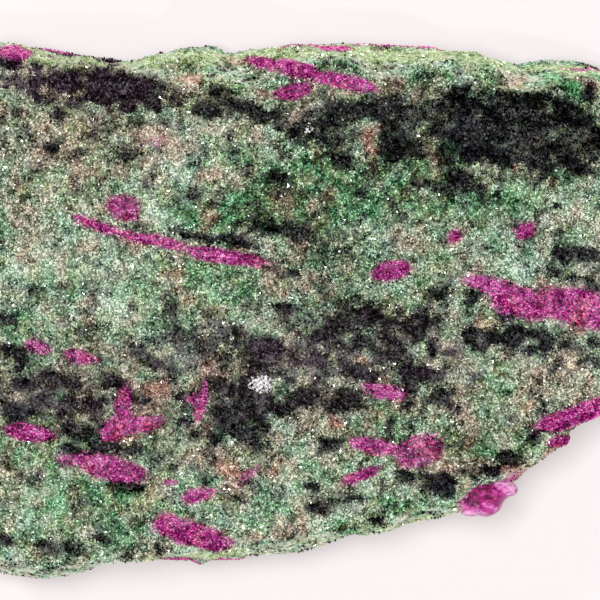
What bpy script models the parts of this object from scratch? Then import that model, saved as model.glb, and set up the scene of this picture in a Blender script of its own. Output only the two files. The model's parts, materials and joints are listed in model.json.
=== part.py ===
"""Ruby in zoisite: a hand-size broken slab of green zoisite rock with ruby crystals grown in it.

One solid, because the rock and its crystals formed as one piece. A fine ball of triangles is
mapped onto a thick slab with the specimen's outline, broken flat along fracture planes, given
lumps, foliation ledges and hollows, and cut flat underneath where it rests. The ruby crystals
are low six-sided plates with chamfered edges, seated on the finished rock and united with it.

Frame: X runs along the slab, Y across it, Z up from the flat resting face at z = 0.
Distances in the tables below are millimetres (times MM), angles are degrees.
"""

import math

import bmesh
import bpy
import numpy as np
from mathutils import Matrix, Vector, noise
from mathutils.bvhtree import BVHTree

MM = 0.001

# Driving dimensions of the slab
THICKNESS = 19.0
WIDEST_LEVEL = 7.5          # height of the widest level above the resting face
TOP_FALL_EAST = 0.020       # the upper face falls this much per mm towards +X
TOP_FALL_SOUTH = 0.012      # and this much per mm towards -Y
SHOULDER_WIDTH = 3.0        # rounding between the upper face and the side, seen from above
BASE_INSET = 4.5            # the resting face ends this far inside the outline
SHOULDER_POWER = 2.6        # superellipse powers of the two quarter rounds
UNDERCUT_POWER = 2.0
FACE_CUTS = 18              # splits of each edge of the starting ball
BALL_WANDER = 0.016         # random shift of the ball's points, so that no rows of triangles show
BREAK_SEED = 11
TOP_SHARE = 0.50            # share of the ball's area that becomes the upper face
BASE_SHARE = 0.17           # and the share that becomes the resting face
EVEN_PASSES = 3             # smoothing that spreads the triangles evenly after the breaks

# Outline seen from above, anticlockwise from the north-west corner down the west end
OUTLINE = [
    (-32.0, 27.9), (-35.2, 25.4), (-38.0, 20.8), (-39.6, 14.6), (-41.3, 7.2), (-41.5, 0.6),
    (-40.2, -9.0), (-39.6, -15.9), (-37.4, -21.4), (-34.2, -25.9), (-30.0, -27.5), (-27.0, -27.9),
    (-25.0, -28.1), (-20.0, -26.7), (-16.5, -25.8), (-13.5, -26.0), (-11.5, -26.7), (-9.5, -26.4),
    (-5.0, -25.4), (-1.0, -25.7), (1.6, -24.6), (4.5, -23.7), (8.5, -23.3), (12.0, -22.1),
    (15.5, -21.3), (18.3, -20.9), (20.3, -19.4), (22.0, -18.0), (24.5, -16.2), (26.0, -14.5),
    (28.5, -12.8), (30.0, -11.4), (34.5, -7.4), (37.8, -2.6), (39.4, 1.4), (41.5, 8.6),
    (41.2, 14.6), (39.2, 19.4), (36.0, 22.9), (30.0, 25.0), (26.0, 25.5), (22.5, 25.2),
    (20.0, 25.9), (10.0, 26.4), (5.0, 27.0), (2.0, 27.2), (-3.8, 26.6), (-6.5, 26.4),
    (-10.5, 26.7), (-15.5, 25.9), (-17.2, 25.4), (-20.0, 26.0), (-25.5, 26.6), (-27.0, 27.5),
    (-30.0, 28.2),
]

# Fracture planes: azimuth, elevation, height, and inset. A plane meets the furthest point of the
# outline in its direction, less the inset, at that height. Planes that look up cut the shoulders,
# planes that look down cut the underside.
FRACTURES = {
    "north_rim": (94, 61, 16.2, 2.0),
    "north_face": (90, 24, 12.0, 1.6),
    "north_west_rim": (124, 36, 10.5, 1.5),
    "north_east_rim": (60, 40, 11.0, 1.0),
    "east_upper": (12, 34, 9.5, 0.0),
    "east_shoulder": (-22, 52, 14.5, 0.5),
    "south_east_side": (-49, 6, 6.0, 0.0),
    "south_terrace": (-72, 62, 16.4, 0.0),
    "south_side": (-97, 12, 9.0, 0.0),
    "west_upper": (172, 30, 10.0, 0.0),
    "west_shoulder": (208, 52, 14.5, 0.5),
    "north_under": (84, -40, 6.0, 1.0),
    "north_east_under": (35, -46, 6.0, 0.0),
    "east_under": (-8, -30, 5.5, 0.0),
    "south_east_under": (-58, -44, 5.0, 0.0),
    "south_under": (-92, -36, 6.0, 0.8),
    "south_west_under": (228, -44, 6.0, 0.5),
    "west_under": (182, -33, 6.0, 0.0),
    "north_west_under": (138, -46, 6.0, 0.5),
}

# The foliation: the rock splits along these planes, which come up to the face at a slant
FOLIATION_TURN = -14.0      # direction of its streaks on the upper face, from +X
FOLIATION_DIP = 38.0
LEDGE_SPACING = 5.2
LEDGE_HEIGHT = 0.55

# Roughness of the broken faces: wavelength and height of each size of lump, and the hackly
# facets, each a small plane with its own tilt, which are bolder on the sides than on top
LUMPS = ((15.0, 0.95), (6.0, 0.42), (2.8, 0.24))
FACET_SIZE = 6.5
FACET_TILT_TOP = 0.12
FACET_TILT_SIDE = 0.40
FACET_BLEND = 0.30          # width of the slope between two facets, as a share of their size
OUTLINE_STEP = 3            # degrees between the directions that are stretched to the outline
CALM_HEIGHT = 2.5           # the roughness fades out within this height of the resting face
NOISE_SHIFT = Vector((17.3, -4.1, 8.6))

# Hollows where the soft black hornblende has broken out: x, y, half length, half width, depth
HOLLOWS = [
    (-25.0, 22.8, 4.5, 1.8, 0.6), (-17.5, 21.2, 3.5, 1.6, 0.6), (5.5, 18.4, 4.5, 2.4, 0.5),
    (13.0, 17.6, 4.0, 2.2, 0.6), (20.5, 18.2, 5.5, 2.8, 0.8), (27.5, 16.6, 5.0, 3.0, 0.7),
    (-3.0, 6.5, 3.2, 0.9, 0.5), (8.0, -1.2, 4.2, 1.6, 0.5), (21.0, -3.2, 3.6, 1.0, 0.5),
    (-6.0, -9.2, 6.5, 2.2, 0.6), (9.5, -7.4, 4.0, 1.2, 0.5), (-25.5, -9.6, 4.5, 2.4, 0.7),
    (13.0, -18.2, 2.2, 1.0, 0.5), (-25.0, -24.4, 4.5, 0.8, 0.5),
]

# Ruby crystals on the upper face: x, y, half length, half width, turn, and how far they stand proud
TOP_RUBIES = {
    "north_blade_west": (-4.0, 24.9, 2.2, 0.70, -18, 0.25),
    "north_blade_middle": (-0.4, 23.8, 2.4, 0.85, -16, 0.35),
    "north_blade_east": (4.2, 22.5, 3.4, 0.75, -12, 0.30),
    "north_wedge": (-0.7, 21.5, 1.8, 0.85, 10, 0.30),
    "long_blade_west": (-18.8, 8.0, 3.9, 0.50, -20, 0.30),
    "long_blade_middle": (-13.6, 6.5, 3.2, 0.72, -14, 0.40),
    "long_blade_east": (-7.2, 4.9, 4.2, 0.82, -12, 0.45),
    "long_blade_knob": (-17.6, 9.9, 1.8, 1.35, -25, 0.35),
    "west_sliver": (-23.8, -4.5, 3.6, 0.45, -13, 0.25),
    "middle_lens": (9.1, 3.6, 2.0, 0.85, 10, 0.35),
    "east_dot": (22.5, 7.6, 0.9, 0.75, 0, 0.30),
    "east_speck": (15.5, 6.9, 0.7, 0.60, 0, 0.25),
    "big_blade_west": (20.6, 1.6, 4.6, 1.15, -18, 0.50),
    "big_blade_east": (28.6, -0.4, 5.6, 1.65, -13, 0.60),
    "red_lens": (8.5, -8.5, 2.1, 0.80, -10, 0.30),
    "south_lens": (7.5, -14.2, 2.3, 1.00, -6, 0.30),
    "south_chip": (6.1, -16.9, 1.9, 0.62, 20, 0.25),
    "pale_patch": (12.0, -14.5, 2.3, 1.60, 15, 0.25),
    "cross_lower": (-17.0, -12.2, 3.3, 1.20, 10, 0.40),
    "cross_upper": (-17.8, -9.4, 1.9, 0.85, 84, 0.35),
    "middle_stub": (-9.8, -9.0, 1.9, 0.60, 75, 0.30),
    "west_lens": (-27.0, -12.6, 2.5, 0.90, -8, 0.35),
    "lower_west_blade": (-19.0, -16.1, 3.6, 1.25, -12, 0.45),
    "purple_lens": (-10.2, -18.9, 1.6, 0.80, -6, 0.30),
    "lower_blade": (-10.8, -22.8, 4.1, 1.40, -15, 0.50),
    "south_east_blade": (27.4, -10.9, 3.9, 1.20, 22, 0.40),
    "south_east_chip": (26.0, -13.6, 1.5, 0.75, 10, 0.30),
    "north_west_lens": (-28.6, 25.0, 1.8, 0.75, -10, 0.25),
}

# Ruby crystals on the sides: azimuth, height, half length, half width, turn, and how far proud
SIDE_RUBIES = {
    "east_end_blade": (8, 11.0, 4.2, 1.30, 24, 0.45),
    "east_end_lens": (-20, 6.0, 2.4, 1.00, -10, 0.35),
    "west_end_blade": (172, 10.0, 4.8, 1.20, -22, 0.45),
    "west_end_lens": (196, 13.0, 2.2, 0.90, 8, 0.35),
    "south_side_blade": (-112, 9.5, 5.0, 1.10, 12, 0.40),
    "south_side_lens": (-78, 7.0, 2.2, 0.95, -18, 0.35),
    "north_side_blade": (70, 9.0, 4.6, 1.20, -14, 0.40),
    "north_side_lens": (112, 7.0, 2.6, 1.00, 10, 0.35),
}
CRYSTAL_ROOT = 2.6          # how deep a crystal reaches into the rock
CRYSTAL_CHAMFER = 0.28      # width of the sloped facets round its upper face
CORNER_WANDER = 0.12        # unevenness of its corners, as a share of its half width
CRYSTAL_SEED = 5
STEEPEST_SEAT = 0.8         # rays that drop further than this per mm have missed the edge
SEAT_SLOPES = (-0.7, 0.7)   # and no crystal leans more than this

# The glassy ruby that sticks out of the lower right edge
TONGUE_CENTRE = (18.9, -19.1, 14.6)
TONGUE_HALF = (2.7, 1.35, 2.6)
TONGUE_TURN = 20.0

FAR_OUT = 120.0             # where the rays that feel for the surface start


def clear_scene():
    for item in list(bpy.data.objects):
        bpy.data.objects.remove(item, do_unlink=True)


def closed_curve(points, steps):
    """Points of a closed Catmull-Rom curve through the given ones."""
    knots = [np.array(point) for point in points]
    count = len(knots)
    curve = []
    for index in range(count):
        before, start, end, after = (knots[(index + shift) % count] for shift in (-1, 0, 1, 2))
        for step in range(steps):
            t = step / steps
            curve.append(0.5 * (2 * start + (end - before) * t
                                + (2 * before - 5 * start + 4 * end - after) * t ** 2
                                + (3 * start - before - 3 * end + after) * t ** 3))
    return np.array(curve)


def outline_reach(curve):
    """A function from an angle to the outline's distance from the centre."""
    angles = np.arctan2(curve[:, 1], curve[:, 0])
    order = np.argsort(angles)
    angles, reach = angles[order], np.hypot(curve[:, 0], curve[:, 1])[order]
    return lambda angle: float(np.interp(angle, angles, reach, period=2 * math.pi))


def slab_point(direction, reach):
    """Where a point of the unit ball lands on the slab, before it is broken and roughened."""
    angle = math.atan2(direction.y, direction.x)
    edge = reach(angle)
    share = (1 - direction.z) / 2
    side_share = 1 - TOP_SHARE - BASE_SHARE
    if share < TOP_SHARE:
        radius, height = (edge - SHOULDER_WIDTH) * math.sqrt(share / TOP_SHARE), THICKNESS
    elif share > 1 - BASE_SHARE:
        radius = (edge - BASE_INSET) * math.sqrt(max(0.0, 1 - share) / BASE_SHARE)
        height = 0.0
    else:
        sweep = (share - TOP_SHARE) / side_share * math.pi
        if sweep < math.pi / 2:
            power = 2 / SHOULDER_POWER
            radius = edge - SHOULDER_WIDTH * (1 - math.sin(sweep) ** power)
            rise = THICKNESS - WIDEST_LEVEL
            height = WIDEST_LEVEL + rise * max(0.0, math.cos(sweep)) ** power
        else:
            power = 2 / UNDERCUT_POWER
            turn = sweep - math.pi / 2
            radius = edge - BASE_INSET * (1 - max(0.0, math.cos(turn)) ** power)
            height = WIDEST_LEVEL * (1 - math.sin(turn) ** power)
    x, y = radius * math.cos(angle), radius * math.sin(angle)
    tilt = (TOP_FALL_EAST * x - TOP_FALL_SOUTH * y) * height / THICKNESS
    return Vector((x, y, height - tilt))


def unit_vector(azimuth, elevation):
    turn, rise = math.radians(azimuth), math.radians(elevation)
    return Vector((math.cos(turn) * math.cos(rise), math.sin(turn) * math.cos(rise), math.sin(rise)))


def break_along_planes(mesh, curve):
    """Pushes whatever stands beyond a fracture plane back onto it."""
    for azimuth, elevation, height, inset in FRACTURES.values():
        normal = unit_vector(azimuth, elevation)
        level = unit_vector(azimuth, 0)
        furthest = max(level.x * x + level.y * y for x, y in curve) - inset
        through = level * furthest + Vector((0, 0, height))
        for vertex in mesh.verts:
            beyond = normal.dot(vertex.co - through)
            if beyond > 0:
                vertex.co -= normal * beyond


def fill_outline(mesh, reach):
    """Stretches the roughened slab, direction by direction, until it fills its outline again."""
    angles = np.array([math.atan2(vertex.co.y, vertex.co.x) for vertex in mesh.verts])
    radii = np.array([vertex.co.xy.length for vertex in mesh.verts])
    filled = radii / np.array([reach(angle) for angle in angles])
    centres = np.radians(np.arange(-180, 180, OUTLINE_STEP))
    stretch = []
    for centre in centres:
        apart = np.abs((angles - centre + math.pi) % (2 * math.pi) - math.pi)
        stretch.append(1 / filled[apart < math.radians(OUTLINE_STEP)].max())
    for vertex, factor in zip(mesh.verts, np.interp(angles, centres, stretch, period=2 * math.pi)):
        vertex.co.xy *= factor


def foliation_normal():
    turn, dip = math.radians(FOLIATION_TURN), math.radians(FOLIATION_DIP)
    across = Vector((-math.sin(turn), math.cos(turn), 0))
    return across * math.cos(dip) + Vector((0, 0, math.sin(dip)))


def ledge_height(point, normal):
    """Saw-tooth steps where the rock has split along the foliation, wandering a little."""
    wander = noise.noise(point / 13.0 + NOISE_SHIFT) * 2.4
    phase = ((normal.dot(point) + wander) / LEDGE_SPACING) % 1.0
    slope = phase / 0.8 if phase < 0.8 else (1 - phase) / 0.2
    present = max(0.0, noise.noise(point / 17.0 - NOISE_SHIFT) + 0.35)
    return LEDGE_HEIGHT * (slope - 0.5) * min(1.0, 2 * present)


def ellipse_share(point, x, y, half_length, half_width, turn):
    """1 at an ellipse's centre, 0 on its edge and outside, smooth between."""
    angle = math.radians(turn)
    dx, dy = point.x - x, point.y - y
    along = (dx * math.cos(angle) + dy * math.sin(angle)) / half_length
    across = (dy * math.cos(angle) - dx * math.sin(angle)) / half_width
    return max(0.0, 1 - along ** 2 - across ** 2)


def facet_height(point, tilt):
    """Height of the small tilted planes that a point lies on: cells with one random tilt each."""
    distances, seeds = noise.voronoi(point / FACET_SIZE + NOISE_SHIFT)
    heights = []
    for seed in seeds[:2]:
        lean = noise.cell_vector(seed * 37.0) * 2 - Vector((1, 1, 1))
        heights.append(tilt * lean.dot(point - (seed - NOISE_SHIFT) * FACET_SIZE))
    own = 0.5 + 0.5 * min(1.0, (distances[1] - distances[0]) / FACET_BLEND)
    return own * heights[0] + (1 - own) * heights[1]


def hollow_depth(point):
    depths = [0.0]
    for x, y, half_length, half_width, depth in HOLLOWS:
        share = ellipse_share(point, x, y, 1.2 * half_length, 1.2 * half_width, FOLIATION_TURN)
        depths.append(depth * math.sqrt(share))
    return max(depths)


def roughness(point, outward, layers):
    """How far the broken surface stands out or in at a point, in millimetres."""
    upward = min(1.0, max(0.0, outward.z * 2))
    height = ledge_height(point, layers) * (1.5 - 0.5 * upward)
    height += facet_height(point, FACET_TILT_TOP * upward + FACET_TILT_SIDE * (1 - upward))
    for order, (wavelength, lump) in enumerate(LUMPS):
        height += lump * noise.noise(point / wavelength + NOISE_SHIFT * (order + 1))
    height -= hollow_depth(point) * upward
    return height * min(1.0, max(0.0, point.z / CALM_HEIGHT))


def make_rock():
    """The slab's mesh, in millimetres: mapped, broken, roughened and flat underneath."""
    curve = closed_curve(OUTLINE, steps=6)
    reach = outline_reach(curve)
    rock = bmesh.new()
    bmesh.ops.create_icosphere(rock, subdivisions=1, radius=1.0)
    bmesh.ops.subdivide_edges(rock, edges=rock.edges[:], cuts=FACE_CUTS, use_grid_fill=True)
    dice = np.random.default_rng(BREAK_SEED)
    for vertex in rock.verts:
        wander = Vector(dice.uniform(-BALL_WANDER, BALL_WANDER, 3))
        vertex.co = slab_point((vertex.co.normalized() + wander).normalized(), reach)
    break_along_planes(rock, curve)
    for _ in range(EVEN_PASSES):
        bmesh.ops.smooth_vert(rock, verts=rock.verts[:], factor=0.5, use_axis_x=True,
                              use_axis_y=True, use_axis_z=True)
    bmesh.ops.triangulate(rock, faces=rock.faces[:])
    bmesh.ops.recalc_face_normals(rock, faces=rock.faces[:])
    rock.normal_update()
    layers = foliation_normal()
    moves = [(vertex, vertex.normal * roughness(vertex.co, vertex.normal, layers)) for vertex in rock.verts]
    for vertex, move in moves:
        vertex.co += move
        vertex.co.z = max(0.0, vertex.co.z)
    fill_outline(rock, reach)
    rock.normal_update()
    return rock


def crystal_corners(half_length, half_width, dice):
    """A stretched hexagon, anticlockwise, with slightly uneven corners."""
    shoulder = max(half_length - 0.9 * half_width, 0.35 * half_length)
    corners = [(half_length, 0), (shoulder, half_width), (-shoulder, half_width),
               (-half_length, 0), (-shoulder, -half_width), (shoulder, -half_width)]
    wander = CORNER_WANDER * half_width
    return [(x + dice.uniform(-wander, wander), y + dice.uniform(-wander, wander)) for x, y in corners]


def seat_plane(tree, place, half_length, half_width):
    """The level and slopes of the rock under a crystal, felt with rays along the crystal's own -Z."""
    down = place.to_3x3() @ Vector((0, 0, -1))
    rows = []
    for along in np.linspace(-0.8, 0.8, 7) * half_length:
        for across in np.linspace(-0.8, 0.8, 3) * half_width:
            hit = tree.ray_cast(place @ Vector((along, across, FAR_OUT)), down)[0]
            if hit is not None:
                rows.append((along, across, (place.inverted() @ hit).z))
    rows = np.array(rows)
    rows = rows[rows[:, 2] > rows[:, 2].max() - STEEPEST_SEAT * half_length]
    design = np.column_stack((rows[:, 0], rows[:, 1], np.ones(len(rows))))
    slope_along, slope_across, level = np.linalg.lstsq(design, rows[:, 2], rcond=None)[0]
    return np.clip(slope_along, *SEAT_SLOPES), np.clip(slope_across, *SEAT_SLOPES), level


def crystal_mesh(name, tree, place, half_length, half_width, proud, dice):
    """A chamfered six-sided plate whose upper face follows the rock under it."""
    slope_along, slope_across, level = seat_plane(tree, place, half_length, half_width)
    chamfer = min(CRYSTAL_CHAMFER, 0.4 * half_width)
    inset = (1 - chamfer / half_length, 1 - chamfer / half_width, proud)
    rings = [inset, (1.0, 1.0, proud - chamfer), (0.9, 0.8, -CRYSTAL_ROOT)]
    corners = crystal_corners(half_length, half_width, dice)
    plate = bmesh.new()
    levels = []
    for along, across, rise in rings:
        ring = [Vector((x * along, y * across, 0)) for x, y in corners]
        for corner in ring:
            corner.z = level + slope_along * corner.x + slope_across * corner.y + rise
        levels.append([plate.verts.new(place @ corner * MM) for corner in ring])
    for upper, lower in zip(levels, levels[1:]):
        for index in range(6):
            after = (index + 1) % 6
            plate.faces.new((upper[index], lower[index], lower[after], upper[after]))
    plate.faces.new(levels[0])
    plate.faces.new(levels[-1][::-1])
    return finish_mesh(plate, name)


def tongue_mesh(name):
    """The glassy ruby at the edge: a rounded, faceted lump set half into the rock."""
    lump = bmesh.new()
    bmesh.ops.create_icosphere(lump, subdivisions=2, radius=1.0)
    place = Matrix.Translation(TONGUE_CENTRE) @ Matrix.Rotation(math.radians(TONGUE_TURN), 4, "Z")
    for vertex in lump.verts:
        dent = 1 + 0.16 * noise.noise(vertex.co * 1.7 + NOISE_SHIFT)
        scaled = Vector(side * share for side, share in zip(TONGUE_HALF, vertex.co * dent))
        vertex.co = place @ scaled * MM
    return finish_mesh(lump, name)


def finish_mesh(shape, name):
    """Turns a bmesh into a mesh of triangles whose faces point outwards."""
    bmesh.ops.triangulate(shape, faces=shape.faces[:])
    bmesh.ops.recalc_face_normals(shape, faces=shape.faces[:])
    mesh = bpy.data.meshes.new(name)
    shape.to_mesh(mesh)
    shape.free()
    return mesh


def top_place(x, y, turn):
    """A crystal's own frame on the upper face: X along it, Z out of the rock."""
    return Matrix.Translation((x, y, 0)) @ Matrix.Rotation(math.radians(turn), 4, "Z")


def side_place(azimuth, height, turn):
    """The same on a side: Z points away from the slab's middle, level with the resting face."""
    outward = Matrix.Rotation(math.radians(azimuth), 4, "Z") @ Matrix.Rotation(math.pi / 2, 4, "Y")
    upright = Matrix.Rotation(math.pi / 2, 4, "Z")
    return Matrix.Translation((0, 0, height)) @ outward @ upright @ Matrix.Rotation(math.radians(turn), 4, "Z")


def make_crystals(rock):
    """One mesh for each ruby, seated on the rock's own surface."""
    tree = BVHTree.FromBMesh(rock)
    dice = np.random.default_rng(CRYSTAL_SEED)
    meshes = [tongue_mesh("edge_tongue")]
    for name, (x, y, half_length, half_width, turn, proud) in TOP_RUBIES.items():
        place = top_place(x, y, turn)
        meshes.append(crystal_mesh(name, tree, place, half_length, half_width, proud, dice))
    for name, (azimuth, height, half_length, half_width, turn, proud) in SIDE_RUBIES.items():
        place = side_place(azimuth, height, turn)
        meshes.append(crystal_mesh(name, tree, place, half_length, half_width, proud, dice))
    return meshes


def ruby_zoisite_material():
    material = bpy.data.materials.new("green_zoisite_rock")
    material.use_nodes = True
    shader = material.node_tree.nodes["Principled BSDF"]
    shader.inputs["Base Color"].default_value = (0.16, 0.21, 0.12, 1)
    shader.inputs["Roughness"].default_value = 0.6
    shader.inputs["Metallic"].default_value = 0.0
    return material


def unite(stone, meshes):
    """Joins the crystals to the stone with one exact union."""
    group = bpy.data.collections.new("ruby_crystals")
    bpy.context.scene.collection.children.link(group)
    for mesh in meshes:
        crystal = bpy.data.objects.new("crystal_" + mesh.name, mesh)
        crystal.hide_render = True
        crystal.display_type = "WIRE"
        group.objects.link(crystal)
    union = stone.modifiers.new("grown_together", "BOOLEAN")
    union.operation = "UNION"
    union.solver = "EXACT"
    union.operand_type = "COLLECTION"
    union.collection = group


def main():
    clear_scene()
    rock = make_rock()
    crystals = make_crystals(rock)
    bmesh.ops.scale(rock, vec=(MM, MM, MM), verts=rock.verts[:])
    stone = bpy.data.objects.new("zoisite_stone", finish_mesh(rock, "zoisite_stone"))
    stone.data.materials.append(ruby_zoisite_material())
    bpy.context.scene.collection.objects.link(stone)
    unite(stone, crystals)


main()
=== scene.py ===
# %% [markdown]
# # Ruby in zoisite
#
# A palm-size slab of rock: green zoisite with black hornblende, tan feldspar and pink ruby.
# The real stone is a break through a mass of crystals a few tenths of a millimetre across, so it
# looks like coarse sugar. One solid cannot show that at a sensible face count. This lesson
# therefore dresses the solid in two layers: a fine skin with every lump and hollow, coloured by
# a map of the minerals, and over it nearly two hundred thousand small flat-faced crystals.

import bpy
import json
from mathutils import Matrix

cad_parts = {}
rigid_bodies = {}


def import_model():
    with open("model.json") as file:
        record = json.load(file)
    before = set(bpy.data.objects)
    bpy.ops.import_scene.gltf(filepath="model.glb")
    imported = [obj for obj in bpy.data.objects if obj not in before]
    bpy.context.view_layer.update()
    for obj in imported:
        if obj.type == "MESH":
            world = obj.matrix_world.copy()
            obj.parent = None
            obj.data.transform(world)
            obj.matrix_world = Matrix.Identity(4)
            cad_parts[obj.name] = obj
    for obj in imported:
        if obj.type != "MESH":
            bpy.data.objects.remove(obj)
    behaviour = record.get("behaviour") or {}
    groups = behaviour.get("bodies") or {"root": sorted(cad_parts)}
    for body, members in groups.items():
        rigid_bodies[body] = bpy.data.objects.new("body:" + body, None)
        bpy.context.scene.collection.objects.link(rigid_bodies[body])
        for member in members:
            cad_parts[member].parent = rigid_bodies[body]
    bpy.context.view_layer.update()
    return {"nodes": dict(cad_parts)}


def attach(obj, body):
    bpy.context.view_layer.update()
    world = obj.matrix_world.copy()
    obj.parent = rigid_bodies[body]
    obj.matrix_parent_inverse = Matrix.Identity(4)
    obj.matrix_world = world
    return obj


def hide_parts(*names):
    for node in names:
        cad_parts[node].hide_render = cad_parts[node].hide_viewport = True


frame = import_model()

# %% [markdown]
# ## Sizes
#
# The script works in metres, as Blender does, but the rock is described in millimetres, which
# are easier to picture. `MM` turns one into the other. `add_node` serves every node tree below,
# so that a tree reads as a list of what it does.

# %% Sizes in millimetres, and tools that later cells share
import json
import math

import bmesh
import bpy
import numpy as np
from mathutils import Matrix, Vector, noise

MM = 0.001
NODE = "zoisite_stone"
BODY = "root"
TOP_LEVEL = 19.0            # height of the broken upper face, mm
RIM_LEVEL = 15.5            # height of the rim round it
UPPER_LEVEL = 9.0           # what is listed for the upper face only shows above this height
WIDEST_LEVEL = 7.5          # height of the widest outline; below it the sides turn under
FOLIATION_TURN = -14.0      # the minerals lie in streaks that run this way, in degrees
FOLIATION_DIP = 38.0        # and that sink into the rock at this slant


def linear(hex_colour):
    """An sRGB hex value as the linear colour that Blender's sockets hold."""
    parts = [int(hex_colour[place:place + 2], 16) / 255 for place in (1, 3, 5)]
    return tuple(c / 12.92 if c <= 0.04045 else ((c + 0.055) / 1.055) ** 2.4 for c in parts) + (1.0,)


def add_node(tree, kind, inputs=None, **settings):
    """Adds one node, sets its properties, and fills or links its inputs by name or number.

    A node given as an input's value stands for that node's first output.
    """
    node = tree.nodes.new(kind)
    for name, value in settings.items():
        setattr(node, name, value)
    for name, value in (inputs or {}).items():
        if isinstance(value, bpy.types.Node):
            value = value.outputs[0]
        if isinstance(value, bpy.types.NodeSocket):
            tree.links.new(value, node.inputs[name])
        else:
            node.inputs[name].default_value = value
    return node


print("streak direction, degrees:", FOLIATION_TURN)
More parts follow.
